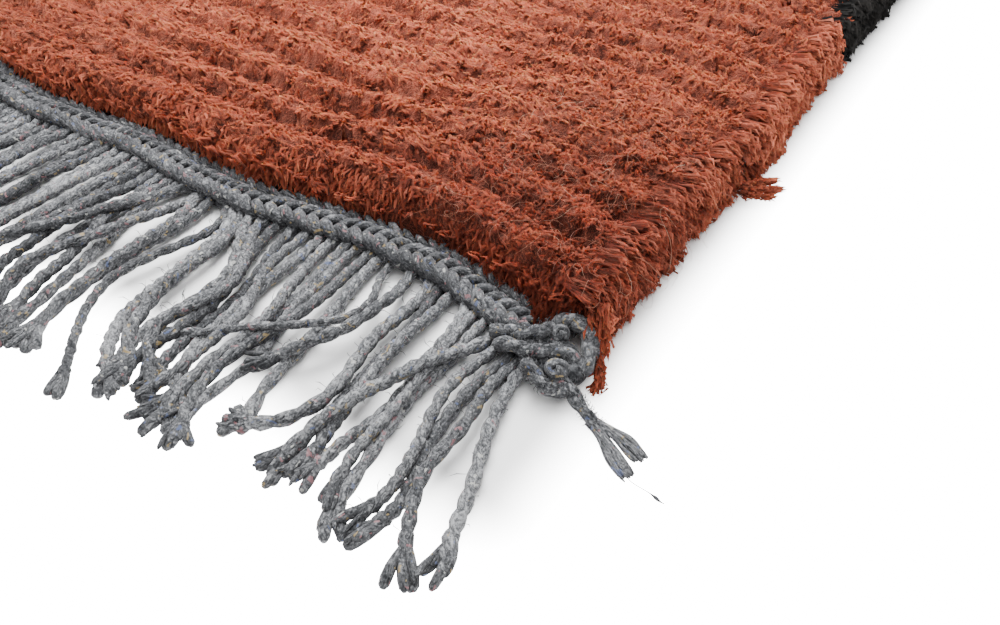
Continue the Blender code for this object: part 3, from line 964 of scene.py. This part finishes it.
wool = join_wisps([tufts, rims])
is_black = wool[3][::5, 2] > 0.5
part_number = np.arange(len(is_black)) * PILE_PARTS // len(is_black)
for number in range(PILE_PARTS):
    part = pick(wool, (part_number == number) & ~is_black)
    add_wisps(f"pile_rust_{number + 1}", part, pile_wool)
add_wisps("pile_black", pick(wool, is_black), black_wool)
pile_core = add_piece("pile_body", *body[:3], body_wool, body[3])
pile_core.data.materials.append(black_body_wool)
centres = np.empty(3 * len(pile_core.data.polygons))
pile_core.data.polygons.foreach_get("center", centres)
is_dark = black_share(BODY_TO_RIM * centres[0::3], centres[1::3]) > 0.5
pile_core.data.polygons.foreach_set("material_index", is_dark.astype(np.int32))
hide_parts("pile")

# %% [markdown]
# The fringe is the warp itself, cabled into cords when the rug came off the loom. Near the corner
# the cords cross and part as they do in the photograph, so a short table follows them one by one.
# Beyond it they fall in tresses, as the solids have them, and a second table gives those.

# %% Where the cords lie
CORD_PITCH = 0.0063
BRAID_WIDTH = 0.018
CORD_START = 0.013
BRUSH_REACH = 0.005
MILLIMETRE = 0.001
CORNER_CORDS = (
    # in from the side: at the root, a quarter, half and three quarters of the way, and at the tip;
    # reach out from the corner; layer; thickness
    (12, 13, 9, 1, -5, 95, 0, 1.05),
    (17, 18, 16, 12, 2, 102, 1, 1.00),
    (22, 22, 22, 18, 17, 99, 0, 1.05),
    (27, 28, 26, 20, 22, 98, 1, 0.95),
    (31, 34, 42, 47, 53, 96, 2, 1.10),
    (36, 38, 35, 32, 27, 101, 0, 1.00),
    (41, 41, 37, 34, 32, 96, 1, 0.90),
    (47, 43, 40, 40, 42, 94, 0, 1.00),
    (54, 54, 51, 47, 45, 95, 1, 1.05),
    (60, 57, 54, 52, 50, 97, 0, 0.90),
    (66, 61, 59, 56, 71, 94, 1, 1.10),
    (72, 69, 67, 72, 84, 73, 2, 1.00),
    (79, 76, 72, 87, 115, 80, 2, 0.72),
    (86, 86, 80, 77, 70, 92, 0, 1.05),
    (91, 90, 89, 91, 83, 106, 1, 1.00),
    (97, 95, 92, 89, 87, 100, 0, 0.90),
    (102, 100, 96, 95, 97, 103, 0, 1.00),
    (108, 104, 97, 94, 91, 106, 1, 1.05),
    (113, 111, 110, 109, 95, 98, 0, 1.05),
    (119, 115, 107, 103, 104, 101, 1, 0.95),
    (125, 121, 114, 112, 108, 97, 0, 1.00),
    (131, 126, 117, 116, 118, 102, 1, 1.00),
    (137, 129, 117, 118, 111, 95, 2, 1.10),
    (143, 134, 124, 127, 121, 98, 0, 1.10),
    (149, 142, 137, 132, 117, 100, 1, 1.10),
    (155, 144, 142, 138, 117, 106, 0, 1.15),
    (160, 150, 154, 149, 128, 115, 1, 0.85),
    (166, 164, 163, 163, 158, 108, 0, 1.00),
    (172, 165, 162, 162, 153, 110, 1, 1.05),
    (169, 172, 176, 183, 181, 104, 2, 1.00),
    (177, 186, 190, 200, 212, 100, 2, 1.00),
    (183, 182, 178, 172, 166, 112, 0, 1.00),
    (189, 187, 184, 178, 170, 108, 1, 1.05),
    (195, 194, 192, 188, 182, 106, 0, 0.95),
    (201, 200, 199, 196, 194, 104, 1, 1.00),
    (206, 206, 207, 210, 208, 108, 0, 1.00),
)
TRESS_START = 0.212
TRESSES = (
    # cords, drift of the tips, pitch of the tips, reach, sideways bow
    (8, 0.0030, 0.0056, 0.088, -0.0010),
    (6, 0.0000, 0.0050, 0.083, 0.0010),
    (7, 0.0035, 0.0048, 0.087, 0.0020),
    (9, -0.0020, 0.0052, 0.085, -0.0010),
    (6, -0.0050, 0.0048, 0.080, 0.0010),
    (8, 0.0040, 0.0050, 0.088, -0.0020),
    (7, 0.0010, 0.0046, 0.082, 0.0010),
    (9, -0.0020, 0.0054, 0.086, 0.0010),
)


def cord_layout(steps):
    """Centre lines, layers and thicknesses of all cords, from under the twined row to the tips.

    A corner cord's x is the quartic in t through its five places. A tress's cord goes from root
    to tip as t to the power 1.25, with a bow of sin(pi t). Slow sines make every cord wander.
    """
    share = np.linspace(0.0, 1.0, steps)
    table = np.array(CORNER_CORDS)
    places = np.linspace(0.0, 1.0, 5)
    quartic = np.linalg.solve(np.vander(places, 5), HALF_WIDTH - MILLIMETRE * table[:, :5].T)
    corner_x = (np.vander(share, 5) @ quartic).T
    corner_reach = MILLIMETRE * table[:, 5]
    cords = np.array([row[0] for row in TRESSES])
    tress = np.repeat(np.arange(len(TRESSES)), cords)
    number = np.concatenate([np.arange(n) for n in cords])
    rows = np.array(TRESSES)[tress]
    root = HALF_WIDTH - TRESS_START - CORD_PITCH * np.arange(len(tress))
    middle = root + (number - 0.5 * (rows[:, 0] - 1)) * CORD_PITCH + rows[:, 1]
    tip = middle + (0.5 * (rows[:, 0] - 1) - number) * rows[:, 2] + rng.normal(0.0, 0.0014, len(root))
    tress_x = root[:, None] + (tip - root)[:, None] * share ** 1.25 + rows[:, 4:] * np.sin(math.pi * share)
    tress_reach = rows[:, 3] + 0.018 + rng.normal(0.0, 0.0032, len(root))
    x = np.concatenate([corner_x, tress_x])
    reach = np.concatenate([corner_reach, tress_reach])
    layer = np.concatenate([table[:, 6], number % 2])
    thick = np.concatenate([table[:, 7], rng.uniform(0.92, 1.22, len(root))])
    start = near_end(x[:, 0]) - CORD_START
    y = start[:, None] + (-HALF_LENGTH - reach + BRUSH_REACH - start)[:, None] * share
    for wave in range(2, 6):
        x = x + rng.normal(0.0, 0.0016 / wave, (len(x), 1)) * np.sin(math.pi * wave * share)
    lift = (0.0028 * layer)[:, None] * ease(0.10, 0.45, share) * (1.0 - 0.75 * ease(0.80, 1.0, share))
    z = 0.0024 + 0.0016 * (1.0 - share) ** 2 + lift
    return np.stack([x, y, z + np.zeros_like(x)], -1), thick


# %% [markdown]
# A cord is two soft plies wound round each other. The fringe, the twined rows and the corner all
# use the same yarn, so one helper winds plies round any path. At a cut end the plies lose their
# twist and open into a small dark brush, which gets strands of its own.

# %% Winding yarn, and opening its ends
PLY_RADIUS = 0.00166
WIND_RADIUS = 0.00068
TURN_LENGTH = 0.0125


def twisted(paths, tone, sides, thick, flare=0.0, upward=(0.0, 0.0, 1.0), floor=0.0001, thin_to=1.0):
    """Two plies wound round each path.

    A ply's centre turns round the path: path + wind * (cos a * sideways + sin a * up), where a
    grows evenly along it, with the other ply half a turn behind. Near the tip the plies part,
    and both radii can shrink to a share thin_to of their own.
    """
    sideways, up = cross_axes(unit(np.gradient(paths, axis=1)), upward)
    run = travelled(paths)
    share = run / run[:, -1:]
    phase = FULL_TURN * rng.random((len(paths), 1))
    slack = 1.0 + 0.12 * np.sin(5.0 * share + phase)
    angle = phase + FULL_TURN * run / TURN_LENGTH * slack
    thick = np.asarray(thick, float).reshape(-1, 1) * (1.0 + (thin_to - 1.0) * share)
    parts = []
    for half in (0.0, math.pi):
        opened = flare * ease(0.86, 1.0, share) * rng.uniform(0.3, 1.2, (len(paths), 1))
        wind = WIND_RADIUS * thick + opened
        turn = (angle + half)[..., None]
        centre = paths + wind[..., None] * (np.cos(turn) * sideways + 0.85 * np.sin(turn) * up)
        radius = PLY_RADIUS * thick * (1.0 + 0.09 * np.sin(23.0 * share + 2.0 * phase + half))
        radius = radius * (1.0 - 0.35 * ease(0.95, 1.0, share)) * (0.75 + 0.25 * ease(0.0, 0.04, share))
        centre[..., 2] = np.maximum(centre[..., 2], radius + floor)
        parts.append(tubes(centre, radius, sides, tone, upward))
    return join_blocks(parts)


BRUSH_PROFILE = (
    # share of the length, share of the thickness
    (0.00, 0.70), (0.25, 0.95), (0.50, 1.10), (0.75, 1.15), (0.92, 1.00), (1.00, 0.50),
)
BRUSH_STRANDS = (
    # heading off the cord's own, half thickness, length, height at the tip
    (-0.24, 0.00165, 0.0125, 0.0014),
    (0.22, 0.00170, 0.0120, 0.0015),
    (0.00, 0.00150, 0.0140, 0.0034),
    (-0.15, 0.00075, 0.0125, 0.0044),
    (0.16, 0.00070, 0.0132, 0.0040),
)
BRUSH_START = 0.0065
FUZZ_WIDTH = 0.00013
CORD_FUZZ = 1500
NEAR_STEPS = 48
FAR_STEPS = 28


def brushes(ends, ahead, thick):
    """Loose strands at cut ends: blunt lumps fan out on the floor, with finer ones on them.

    A strand's heading turns with the square of its share, so it starts along the cord and curls
    a little before its cut tip.
    """
    kinds = np.array(BRUSH_STRANDS)
    share, swell = np.array(BRUSH_PROFILE).T
    strands = np.tile(kinds, (len(ends), 1))
    cord = np.repeat(np.arange(len(ends)), len(kinds))
    total = len(cord)
    fan = rng.uniform(0.6, 1.5, len(ends))[cord]
    heading = np.arctan2(ahead[cord, 1], ahead[cord, 0]) + fan * strands[:, 0] + rng.normal(0.0, 0.10, total)
    bow = (rng.normal(0.0, 0.35, len(ends))[cord] + rng.normal(0.0, 0.22, total))[:, None]
    turn = heading[:, None] + bow * share ** 2
    step = (strands[:, 2] * rng.uniform(0.75, 1.15, total))[:, None] * np.diff(share, prepend=0.0)
    start = ends[cord] - BRUSH_START * ahead[cord] + rng.normal(0.0, 0.0005, (total, 3))
    x = start[:, 0:1] + np.cumsum(step * np.cos(turn), 1)
    y = start[:, 1:2] + np.cumsum(step * np.sin(turn), 1)
    radius = strands[:, 1:2] * thick[cord, None] * swell * rng.uniform(0.85, 1.15, (total, 1))
    z = start[:, 2:3] * (1.0 - share) + (strands[:, 3:] + 0.0008 * rng.random((total, 1))) * share
    z = np.maximum(z, radius + 0.0001)
    tone = 0.70 * rng.random(len(ends))[cord] + 0.30 * rng.random(total)
    return tubes(np.stack([x, y, z], -1), radius, 6, 0.5 * tone)


def turned(block):
    """A block turned half a turn about Z, which moves near work to the far end."""
    points = block[0] * np.array([-1.0, -1.0, 1.0])
    return (points, *block[1:])


def fuzz_on(paths, thick, count, length=0.0045):
    """Thin spindles that stand off yarn: each starts in the yarn and leans away along it."""
    cord = rng.integers(0, len(paths), count)
    step = rng.integers(1, paths.shape[1] - 1, count)
    centre = paths[cord, step]
    ahead = unit(paths[cord, step + 1] - paths[cord, step - 1])
    out = unit(np.cross(ahead, rng.normal(size=(count, 3))))
    out[:, 2] = np.abs(out[:, 2])
    reach = length * rng.uniform(0.5, 1.4, count)[:, None]
    surface = centre + out * (PLY_RADIUS * 1.4 * thick[cord])[:, None]
    lean = 0.45 * out + 0.55 * ahead * rng.choice([-1.0, 1.0], (count, 1))
    tip = surface + reach * (lean + 0.2 * rng.normal(size=(count, 3)))
    bend = 0.6 * surface + 0.4 * tip + 0.0006 * out
    for points in (tip, bend):
        points[:, 2] = np.maximum(points[:, 2], FLOOR_GAP)
    width = np.full(count, FUZZ_WIDTH)
    points, faces, uvs, tags = wisps(centre, bend, tip, width, rng.random(count), np.zeros(count))[:4]
    return points, [faces], [uvs], tags


def fringe_block(steps):
    """All cords of one fringe, with their brushes and their fuzz."""
    paths, thick = cord_layout(steps)
    cords = twisted(paths, rng.random(len(paths)), 5, thick, flare=0.0006)
    ahead = unit(paths[:, -1] - paths[:, -4])
    return join_blocks([cords, brushes(paths[:, -1], ahead, thick), fuzz_on(paths, thick, CORD_FUZZ)])


def dress(name, ending, block, material):
    """Put a piece of yarn in a solid's place; at the far end it is turned there first."""
    if name.endswith("_far"):
        block = turned(block)
    piece = add_piece(name + ending, *block[:3], material, block[3])
    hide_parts(name)


dress("fringe_near", "_cords", fringe_block(NEAR_STEPS), grey_yarn)
dress("fringe_far", "_cords", fringe_block(FAR_STEPS), grey_yarn)

# %% [markdown]
# The end of the cloth is locked by twining: two strands pass over and under the warps and twist
# between them. Rows twisted in turn to the left and to the right look like a chain. We wind two
# plies round three lines that follow the cloth's end, and lay them on a thin woven band.

# %% The twined ends
TWINE_ROWS = (
    # distance out from the cloth's end, height, winding radius, ply radius, twist
    (0.0028, 0.0060, 0.0013, 0.0016, 1.0),
    (0.0082, 0.0064, 0.0015, 0.0018, -1.0),
    (0.0142, 0.0066, 0.0020, 0.0023, 1.0),
)
TWINE_TURN = 0.0115
TWINE_PHASE = 400
KNOT_LENGTH = 0.024


def twined_rows():
    """Plies wound round lines along X that follow the bowed end."""
    steps = 400
    x = np.linspace(-HALF_WIDTH + 0.002, HALF_WIDTH - KNOT_LENGTH + 0.006, steps)
    parts, lines = [], []
    for outward, height, wind, ply, hand in TWINE_ROWS:
        wobble = 0.0006 * field(x, outward, 0.011, 41)
        rise = 0.0005 * field(x, 0.0, 0.013, 42)
        line = np.stack([x, near_end(x) - outward + wobble, height + rise], -1)
        drift = 0.0012 * field(x, 0.0, 0.016, 43)
        angle = hand * FULL_TURN * (x + drift) / TWINE_TURN + outward * TWINE_PHASE
        for half in (0.0, math.pi):
            turn = angle + half
            offset = np.stack([np.zeros(steps), wind * np.cos(turn), 0.9 * wind * np.sin(turn)], -1)
            taper = ease(0.0, 0.010, np.minimum(x - x[0], x[-1] - x))
            radius = ply * (0.6 + 0.4 * taper) * (1.0 + 0.10 * field(x, half, 0.006, 44))
            parts.append(tubes((line + offset)[None], radius[None], 6, np.array([0.5])))
        lines.append(line)
    parts.append(fuzz_on(np.stack(lines), np.full(3, 1.3), 800))
    return join_blocks(parts)


def twined_band():
    """A flat closed band under the twined rows: a rounded section carried along the end."""
    steps = 120
    x = np.linspace(-HALF_WIDTH + 0.001, HALF_WIDTH - KNOT_LENGTH + 0.004, steps)
    line = np.stack([x, near_end(x) - 0.5 * BRAID_WIDTH, np.full(steps, 0.0026)], -1)[None]
    # the band gets a low tone, darker than the plies: painted shade where it shows between the rows
    points, faces, uvs, tags = tubes(line, np.ones((1, steps)), 12, np.array([0.2]))
    centre = np.repeat(line[0], 12, axis=0)
    shaped = centre + (points - centre) * np.array([1.0, 0.5 * BRAID_WIDTH - 0.0006, 0.0024])
    shaped[:, 0] = centre[:, 0]
    return shaped, faces, uvs, tags


for name in ("braid_near", "braid_far"):
    dress(name, "_twining", join_blocks([twined_rows(), twined_band()]), braid_yarn)

# %% [markdown]
# At the corner the twining strands are tied off in a knot and left with a tail. The knot is five
# strands of the same yarn laid over three hidden cores, with two rolled ends on top. Each strand is
# a smooth path through a few places. The tail runs out as one thin cord, then its plies open like a
# leaf of two lobes and end in a wisp.

# %% The tied corners
KNOT_STRANDS = (
    # thickness; places in millimetres: in from the side, out from the corner line, height
    (1.35, ((14.0, 5.5, 7.5), (10.5, 2.0, 10.0), (4.5, 3.5, 11.0), (-0.5, 7.5, 10.0), (-2.6, 12.0, 8.0),
            (-2.2, 16.0, 6.0))),
    (1.20, ((30.0, 18.0, 7.0), (24.0, 17.0, 9.2), (18.5, 14.7, 9.6), (15.0, 11.5, 10.0), (12.5, 8.5, 9.6))),
    (1.15, ((25.5, 23.0, 7.0), (20.0, 21.2, 9.0), (15.0, 20.5, 9.4), (10.0, 18.0, 9.8), (5.0, 15.0, 9.4),
            (0.7, 15.6, 6.5))),
    (1.10, ((13.0, 24.5, 8.6), (9.0, 26.0, 7.6), (5.0, 26.8, 5.4), (1.0, 26.0, 4.4), (-1.5, 23.5, 4.2))),
    (1.00, ((22.0, 9.5, 6.5), (17.0, 16.5, 7.5), (12.5, 22.5, 6.5), (9.0, 26.0, 4.5))),
)
KNOT_COILS = (
    # millimetres: in from the side, out from the corner line, height; outer radius; thickness
    (4.0, 21.3, 7.6, 3.3, 0.68),
    (10.2, 9.3, 9.8, 2.4, 0.62),
)
COIL_TURNS = 1.3
COIL_AXIS = np.array([0.33, -0.59, 0.73])
COIL_START = 2.4
KNOT_FLOOR = 0.0004
KNOT_CORES = (
    # both ends in millimetres and half thickness
    ((2.0, 10.0, 4.8), (26.0, 13.5, 4.8), 0.0050),
    ((1.5, 19.5, 4.0), (17.0, 18.5, 4.4), 0.0044),
    ((-0.5, 10.0, 4.6), (0.8, 21.5, 4.2), 0.0042),
)
TAIL = ((4.0, 21.0, 6.0), (0.0, 22.6, 4.8), (-3.8, 23.6, 3.8), (-7.8, 25.8, 3.0), (-11.7, 27.5, 2.5),
        (-14.8, 28.6, 2.1))
LOBES = (
    # half width in millimetres, strands, places in millimetres
    (2.2, 9, ((-12.5, 27.6, 2.4), (-21.5, 28.1, 1.9), (-27.3, 29.6, 1.7), (-32.5, 31.8, 1.4))),
    (2.1, 9, ((-12.5, 28.6, 1.8), (-20.8, 32.7, 1.7), (-26.3, 36.4, 1.5), (-32.0, 39.2, 1.2))),
)
WISP = ((-31.0, 38.5, 1.4), (-34.0, 39.7, 0.8), (-38.0, 39.8, 0.7), (-41.0, 40.4, 0.8), (-43.6, 40.5, 0.5))


def at_corner(places):
    """Points from places given in millimetres: in from the side, out from the end's line, height."""
    inward, outward, height = MILLIMETRE * np.asarray(places, float).T
    return np.stack([HALF_WIDTH - inward, -HALF_LENGTH - outward, height], -1)


def along(places, share):
    """Points at some shares of a smooth path: the polynomial of least degree through its places."""
    points = at_corner(places)
    terms = np.linalg.solve(np.vander(np.linspace(0.0, 1.0, len(points)), len(points)), points)
    return np.vander(share, len(points)) @ terms


def coil(inward, outward, height, outer, thick):
    """Yarn rolled up so that its end shows: a ring whose radius shrinks as it turns and rises."""
    beside = unit(np.cross(COIL_AXIS, [0.0, 0.0, 1.0]))
    above = np.cross(COIL_AXIS, beside)
    share = np.linspace(0.0, 1.0, 44)[:, None]
    angle = FULL_TURN * COIL_TURNS * share + COIL_START
    radius = MILLIMETRE * outer * (1.0 - 0.85 * share)
    path = at_corner((inward, outward, height)) + radius * (np.cos(angle) * beside + np.sin(angle) * above)
    path = path + 0.0014 * share * COIL_AXIS
    return twisted(path[None], np.array([0.6]), 8, thick, upward=COIL_AXIS, floor=KNOT_FLOOR)


def leaf_lobe(half_width, count, places):
    """One flat lobe of opened plies: strands side by side, from one point to blunt ends."""
    share = np.linspace(0.0, 1.0, 14)
    middle = along(places, share)
    ahead = unit(np.gradient(middle, axis=0))
    beside = np.stack([-ahead[:, 1], ahead[:, 0], 0.0 * share], -1)
    spread = np.linspace(-1.0, 1.0, count)[:, None]
    wide = MILLIMETRE * half_width * spread * (0.45 + 0.55 * ease(0.0, 0.6, share))
    reach = 1.0 - 0.05 * rng.random((count, 1))
    strands = middle[0] + reach[..., None] * (middle - middle[0]) + wide[..., None] * beside
    strands[..., 2] += 0.0004 * np.sin(9.0 * share + 6.0 * rng.random((count, 1)))
    blunt = 1.0 - 0.5 * ease(0.93, 1.0, share)
    radius = 0.00062 * blunt * rng.uniform(0.8, 1.2, (count, 1))
    return tubes(strands, radius, 5, rng.uniform(0.35, 1.0, count))


def corner_knot():
    """Strands, coils, cores, tail, leaf and wisp of one tied corner."""
    share = np.linspace(0.0, 1.0, 44)
    tail = along(TAIL, share)[None]
    parts = [coil(*row) for row in KNOT_COILS] + [leaf_lobe(*row) for row in LOBES]
    for thick, places in KNOT_STRANDS:
        parts.append(twisted(along(places, share)[None], np.array([0.55]), 7, thick, floor=KNOT_FLOOR))
    for start, end, half_thickness in KNOT_CORES:
        core = along((start, end), np.linspace(0.0, 1.0, 9))[None]
        swell = half_thickness * np.sqrt(np.clip(1.0 - np.linspace(-0.98, 0.98, 9) ** 2, 0.02, 1.0))[None]
        # the cores get a low tone, darker than the strands: painted shade in the gaps between the strands
        parts.append(tubes(core, swell, 10, np.array([0.1])))
    parts.append(twisted(tail, np.array([0.5]), 7, 1.35, thin_to=0.62))
    threads = [along(places, share) for thick, places in KNOT_STRANDS] + [tail[0]]
    parts.append(fuzz_on(np.stack(threads), np.full(len(threads), 0.9), 900, 0.0024))
    wisp = along(WISP, np.linspace(0.0, 1.0, 20))[None]
    radius = 0.00016 + 0.00044 * np.exp(-((np.linspace(0.0, 1.0, 20) - 0.76) / 0.13) ** 2)
    parts.append(tubes(wisp, radius[None], 5, np.array([0.5])))
    return join_blocks(parts)


for name in ("corner_knot_near", "corner_knot_far"):
    dress(name, "_yarn", corner_knot(), grey_yarn)

# %% [markdown]
# Hand-spun wool sheds and frays. Pale kemp hairs curl over the pile, and loose tufts hang out of it
# at the corner and at its side. They are thin, but they soften every outline in a close view.

# %% Stray hairs and the loose tufts
HAIRS_NEAR = 220
HAIRS_FAR = 60
HAIR_STEPS = 8
HAIR_INSET = 0.002
HAIR_OVERHANG = 0.008
HAIR_STOPS = ((0.0, (0.22, 0.060, 0.034)), (0.7, (0.36, 0.15, 0.09)), (1.0, (0.50, 0.32, 0.22)))
TUFT_WISP = 0.00050


def stray_hairs(count, spread_x, spread_y, middle_x, middle_y):
    """Curly thin tubes over the pile and its side: a straight line plus two slow sideways waves."""
    x = middle_x + spread_x * (rng.random(count) - 0.5)
    y = middle_y + spread_y * (rng.random(count) - 0.5)
    inside = HALF_WIDTH - HAIR_INSET - np.abs(x)
    x = np.where(inside < 0.0, np.sign(x) * (HALF_WIDTH - HAIR_INSET), x)
    z = TUFT_TOP - 0.0015 - 0.016 * (1.0 - ease(-0.001, 0.010, inside)) * rng.random(count)
    share = np.linspace(0.0, 1.0, HAIR_STEPS)
    heading = FULL_TURN * rng.random(count)
    reach = rng.uniform(0.007, 0.021, count)
    curl = rng.normal(0.0, 2.2, (count, 2))
    turn = heading[:, None] + curl[:, :1] * share + curl[:, 1:] * np.sin(math.pi * share)
    step = (reach / (HAIR_STEPS - 1))[:, None]
    path_x = x[:, None] + np.cumsum(step * np.cos(turn), 1)
    path_y = y[:, None] + np.cumsum(step * np.sin(turn), 1)
    arch = rng.uniform(0.0015, 0.0045, count)[:, None] * np.sin(math.pi * share)
    over = np.clip((np.abs(path_x) - HALF_WIDTH + 0.003) / 0.010, 0.0, 1.0)
    path_x = np.clip(path_x, -HALF_WIDTH - HAIR_OVERHANG, HALF_WIDTH + HAIR_OVERHANG)
    path_z = np.maximum(z[:, None] + arch - 0.010 * over, 0.001)
    radius = rng.uniform(0.000028, 0.000058, count)[:, None] * np.ones_like(share)
    return tubes(np.stack([path_x, path_y, path_z], -1), radius, 3, rng.random(count))


LOOSE_TUFTS = (
    # wisps; spread; places: in from the side, out from the corner line, height; all in millimetres
    (240, 0.85, ((-3.2, 7.0, 9.0), (-5.2, 10.5, 7.0), (-7.2, 13.2, 4.5), (-7.9, 15.8, 2.6),
                 (-7.2, 18.2, 1.4))),
    (210, 0.50, ((-3.0, -104.0, 8.5), (-6.0, -108.5, 7.0), (-9.1, -113.5, 6.0), (-14.0, -122.1, 4.2))),
    (210, 0.50, ((-3.0, -103.0, 7.5), (-7.0, -106.5, 6.0), (-11.2, -110.5, 5.0), (-17.0, -119.1, 3.4))),
    (190, 0.48, ((-3.0, -102.0, 6.0), (-7.5, -105.2, 4.5), (-11.8, -108.6, 3.6), (-15.8, -114.1, 2.4))),
    (500, 1.60, ((3.0, -3.0, 16.5), (1.0, 0.5, 14.0), (-1.8, 4.6, 9.5), (-3.0, 6.4, 5.0))),
)


def loose_tuft(count, spread, places):
    """A lock of rust wool that hangs out of the pile: short wisps one behind another on a path."""
    start = 0.75 * rng.random(count)
    aside = MILLIMETRE * spread * rng.normal(size=(count, 3))
    fray, curl = 0.0006 * rng.normal(size=(2, count, 3))
    root = along(places, start) + 0.8 * aside
    bend = along(places, start + 0.15) + aside + curl
    tip = along(places, np.minimum(start + 0.25, 1.0)) + 0.9 * aside + fray
    facing = unit(0.8 * unit(aside) + np.array([0.15, -0.25, 0.6]))
    tone = 0.24 + 0.22 * start + 0.16 * rng.random(count)
    return wisps(root, bend, tip, np.full(count, TUFT_WISP), tone, np.zeros(count), facing)


def make_hair():
    """Pale kemp: cream to pinkish brown, each hair its own tone."""
    material, tree, shader = new_wool("pale_hair", 0.2, (1.0, 0.9, 0.85))
    colour = ramp(tree, wool_numbers(tree)["Red"], HAIR_STOPS)
    tree.links.new(colour, shader.inputs["Base Color"])
    return material


pale_hair = make_hair()
hairs = join_blocks([
    stray_hairs(HAIRS_NEAR, 0.10, 0.10, HALF_WIDTH - 0.035, -HALF_LENGTH + 0.055),
    stray_hairs(HAIRS_FAR, 0.60, 0.86, 0.0, 0.0),
])
hair_piece = add_piece("stray_hairs", *hairs[:3], pale_hair, hairs[3])
loose = join_wisps([loose_tuft(*row) for row in LOOSE_TUFTS])
add_wisps("loose_tufts", loose, pile_wool)

# %% [markdown]
# The ground weave hides under the pile, but the underside of a rug tells how it was made. There the
# backs of the knots show as rows of small rust bumps between grey picks. The sheet is closed and
# 3 mm thick; its lower face has a low wave for each row of knots, and the finer weave is a bump.

# %% The ground weave and its back
WEAVE_THICKNESS = 0.003
WARP_PITCH = 0.0034
PICK_PITCH = 0.0022
WAVE_HEIGHT = 0.0007


def stripes(tree, value, pitch):
    """Rounded ridges, one for each pitch: the size of sin(pi value / pitch)."""
    return maths(tree, "ABSOLUTE", maths(tree, "SINE", maths(tree, "MULTIPLY", value, math.pi / pitch)))


def make_weave():
    """Grey picks with rust knot backs: both are stripes along X, broken by the warps."""
    material, tree, shader = new_wool("ground_weave_wool", 0.1, (0.8, 0.8, 0.8))
    place = add_node(tree, "ShaderNodeTexCoord")
    parts = add_node(tree, "ShaderNodeSeparateXYZ", Vector=place.outputs["Object"])
    x, y = parts.outputs["X"], parts.outputs["Y"]
    rows = maths(tree, "SINE", maths(tree, "MULTIPLY", y, FULL_TURN * ROWS / FIELD_LENGTH))
    warps = stripes(tree, x, WARP_PITCH)
    picks = stripes(tree, y, PICK_PITCH)
    in_row = maths(tree, "GREATER_THAN", rows, 0.0)
    knots = maths(tree, "MULTIPLY", in_row, maths(tree, "GREATER_THAN", warps, 0.35))
    speckle = object_noise(tree, 700.0, 3.0)
    grey = ramp(tree, speckle, ((0.25, GREY_DARK), (0.5, GREY_MIDDLE), (0.8, GREY_LIGHT)))
    rust = ramp(tree, speckle, ((0.25, RUST_ROOT), (0.5, RUST_DEEP), (0.8, RUST_MIDDLE)))
    tree.links.new(mix_colour(tree, knots, grey, rust), shader.inputs["Base Color"])
    height = maths(tree, "ADD", maths(tree, "MULTIPLY", warps, 0.6), maths(tree, "MULTIPLY", picks, 0.5))
    height = maths(tree, "ADD", height, maths(tree, "MULTIPLY", speckle, 0.5))
    add_relief(tree, shader, height, 0.8, 0.0007)
    return material


def weave_sheet():
    """Upper and lower grids with a shared edge: z = 3 mm above, and a low wave below."""
    columns, rows = 40, 4 * ROWS + 1
    share_x = np.linspace(-0.5, 0.5, columns)
    share_y = np.linspace(0.0, 1.0, rows)
    x = np.broadcast_to(share_x * (weave_high[0] - weave_low[0]), (rows, columns))
    y = near_end(x) + (far_end(x) - near_end(x)) * share_y[:, None]
    wave = 0.5 - 0.5 * np.cos(FULL_TURN * ROWS * share_y)[:, None]
    lower = np.stack([x, y, 0.0001 + WAVE_HEIGHT * wave + 0.0001 * np.sin(x / 0.0011)], -1)
    upper = np.stack([x, y, np.full_like(x, WEAVE_THICKNESS)], -1)
    points = np.concatenate([lower.reshape(-1, 3), upper.reshape(-1, 3)])
    low = np.arange(rows * columns).reshape(rows, columns)
    lift = rows * columns
    high = low + lift
    under = grid_faces(low)[:, [0, 3, 2, 1]]
    loop = np.concatenate([low[0, :-1], low[:-1, -1], low[-1, :0:-1], low[:0:-1, 0]])
    after = np.roll(loop, -1)
    edge = np.stack([loop, after, after + lift, loop + lift], -1)
    faces = [under, grid_faces(high), edge]
    tags = np.full((len(points), 4), 0.5)
    return points, faces, [np.zeros((len(block), 4, 2)) for block in faces], tags


sheet_block = weave_sheet()
weave = add_piece("ground_weave_cloth", *sheet_block[:3], make_weave(), sheet_block[3])
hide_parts("ground_weave")
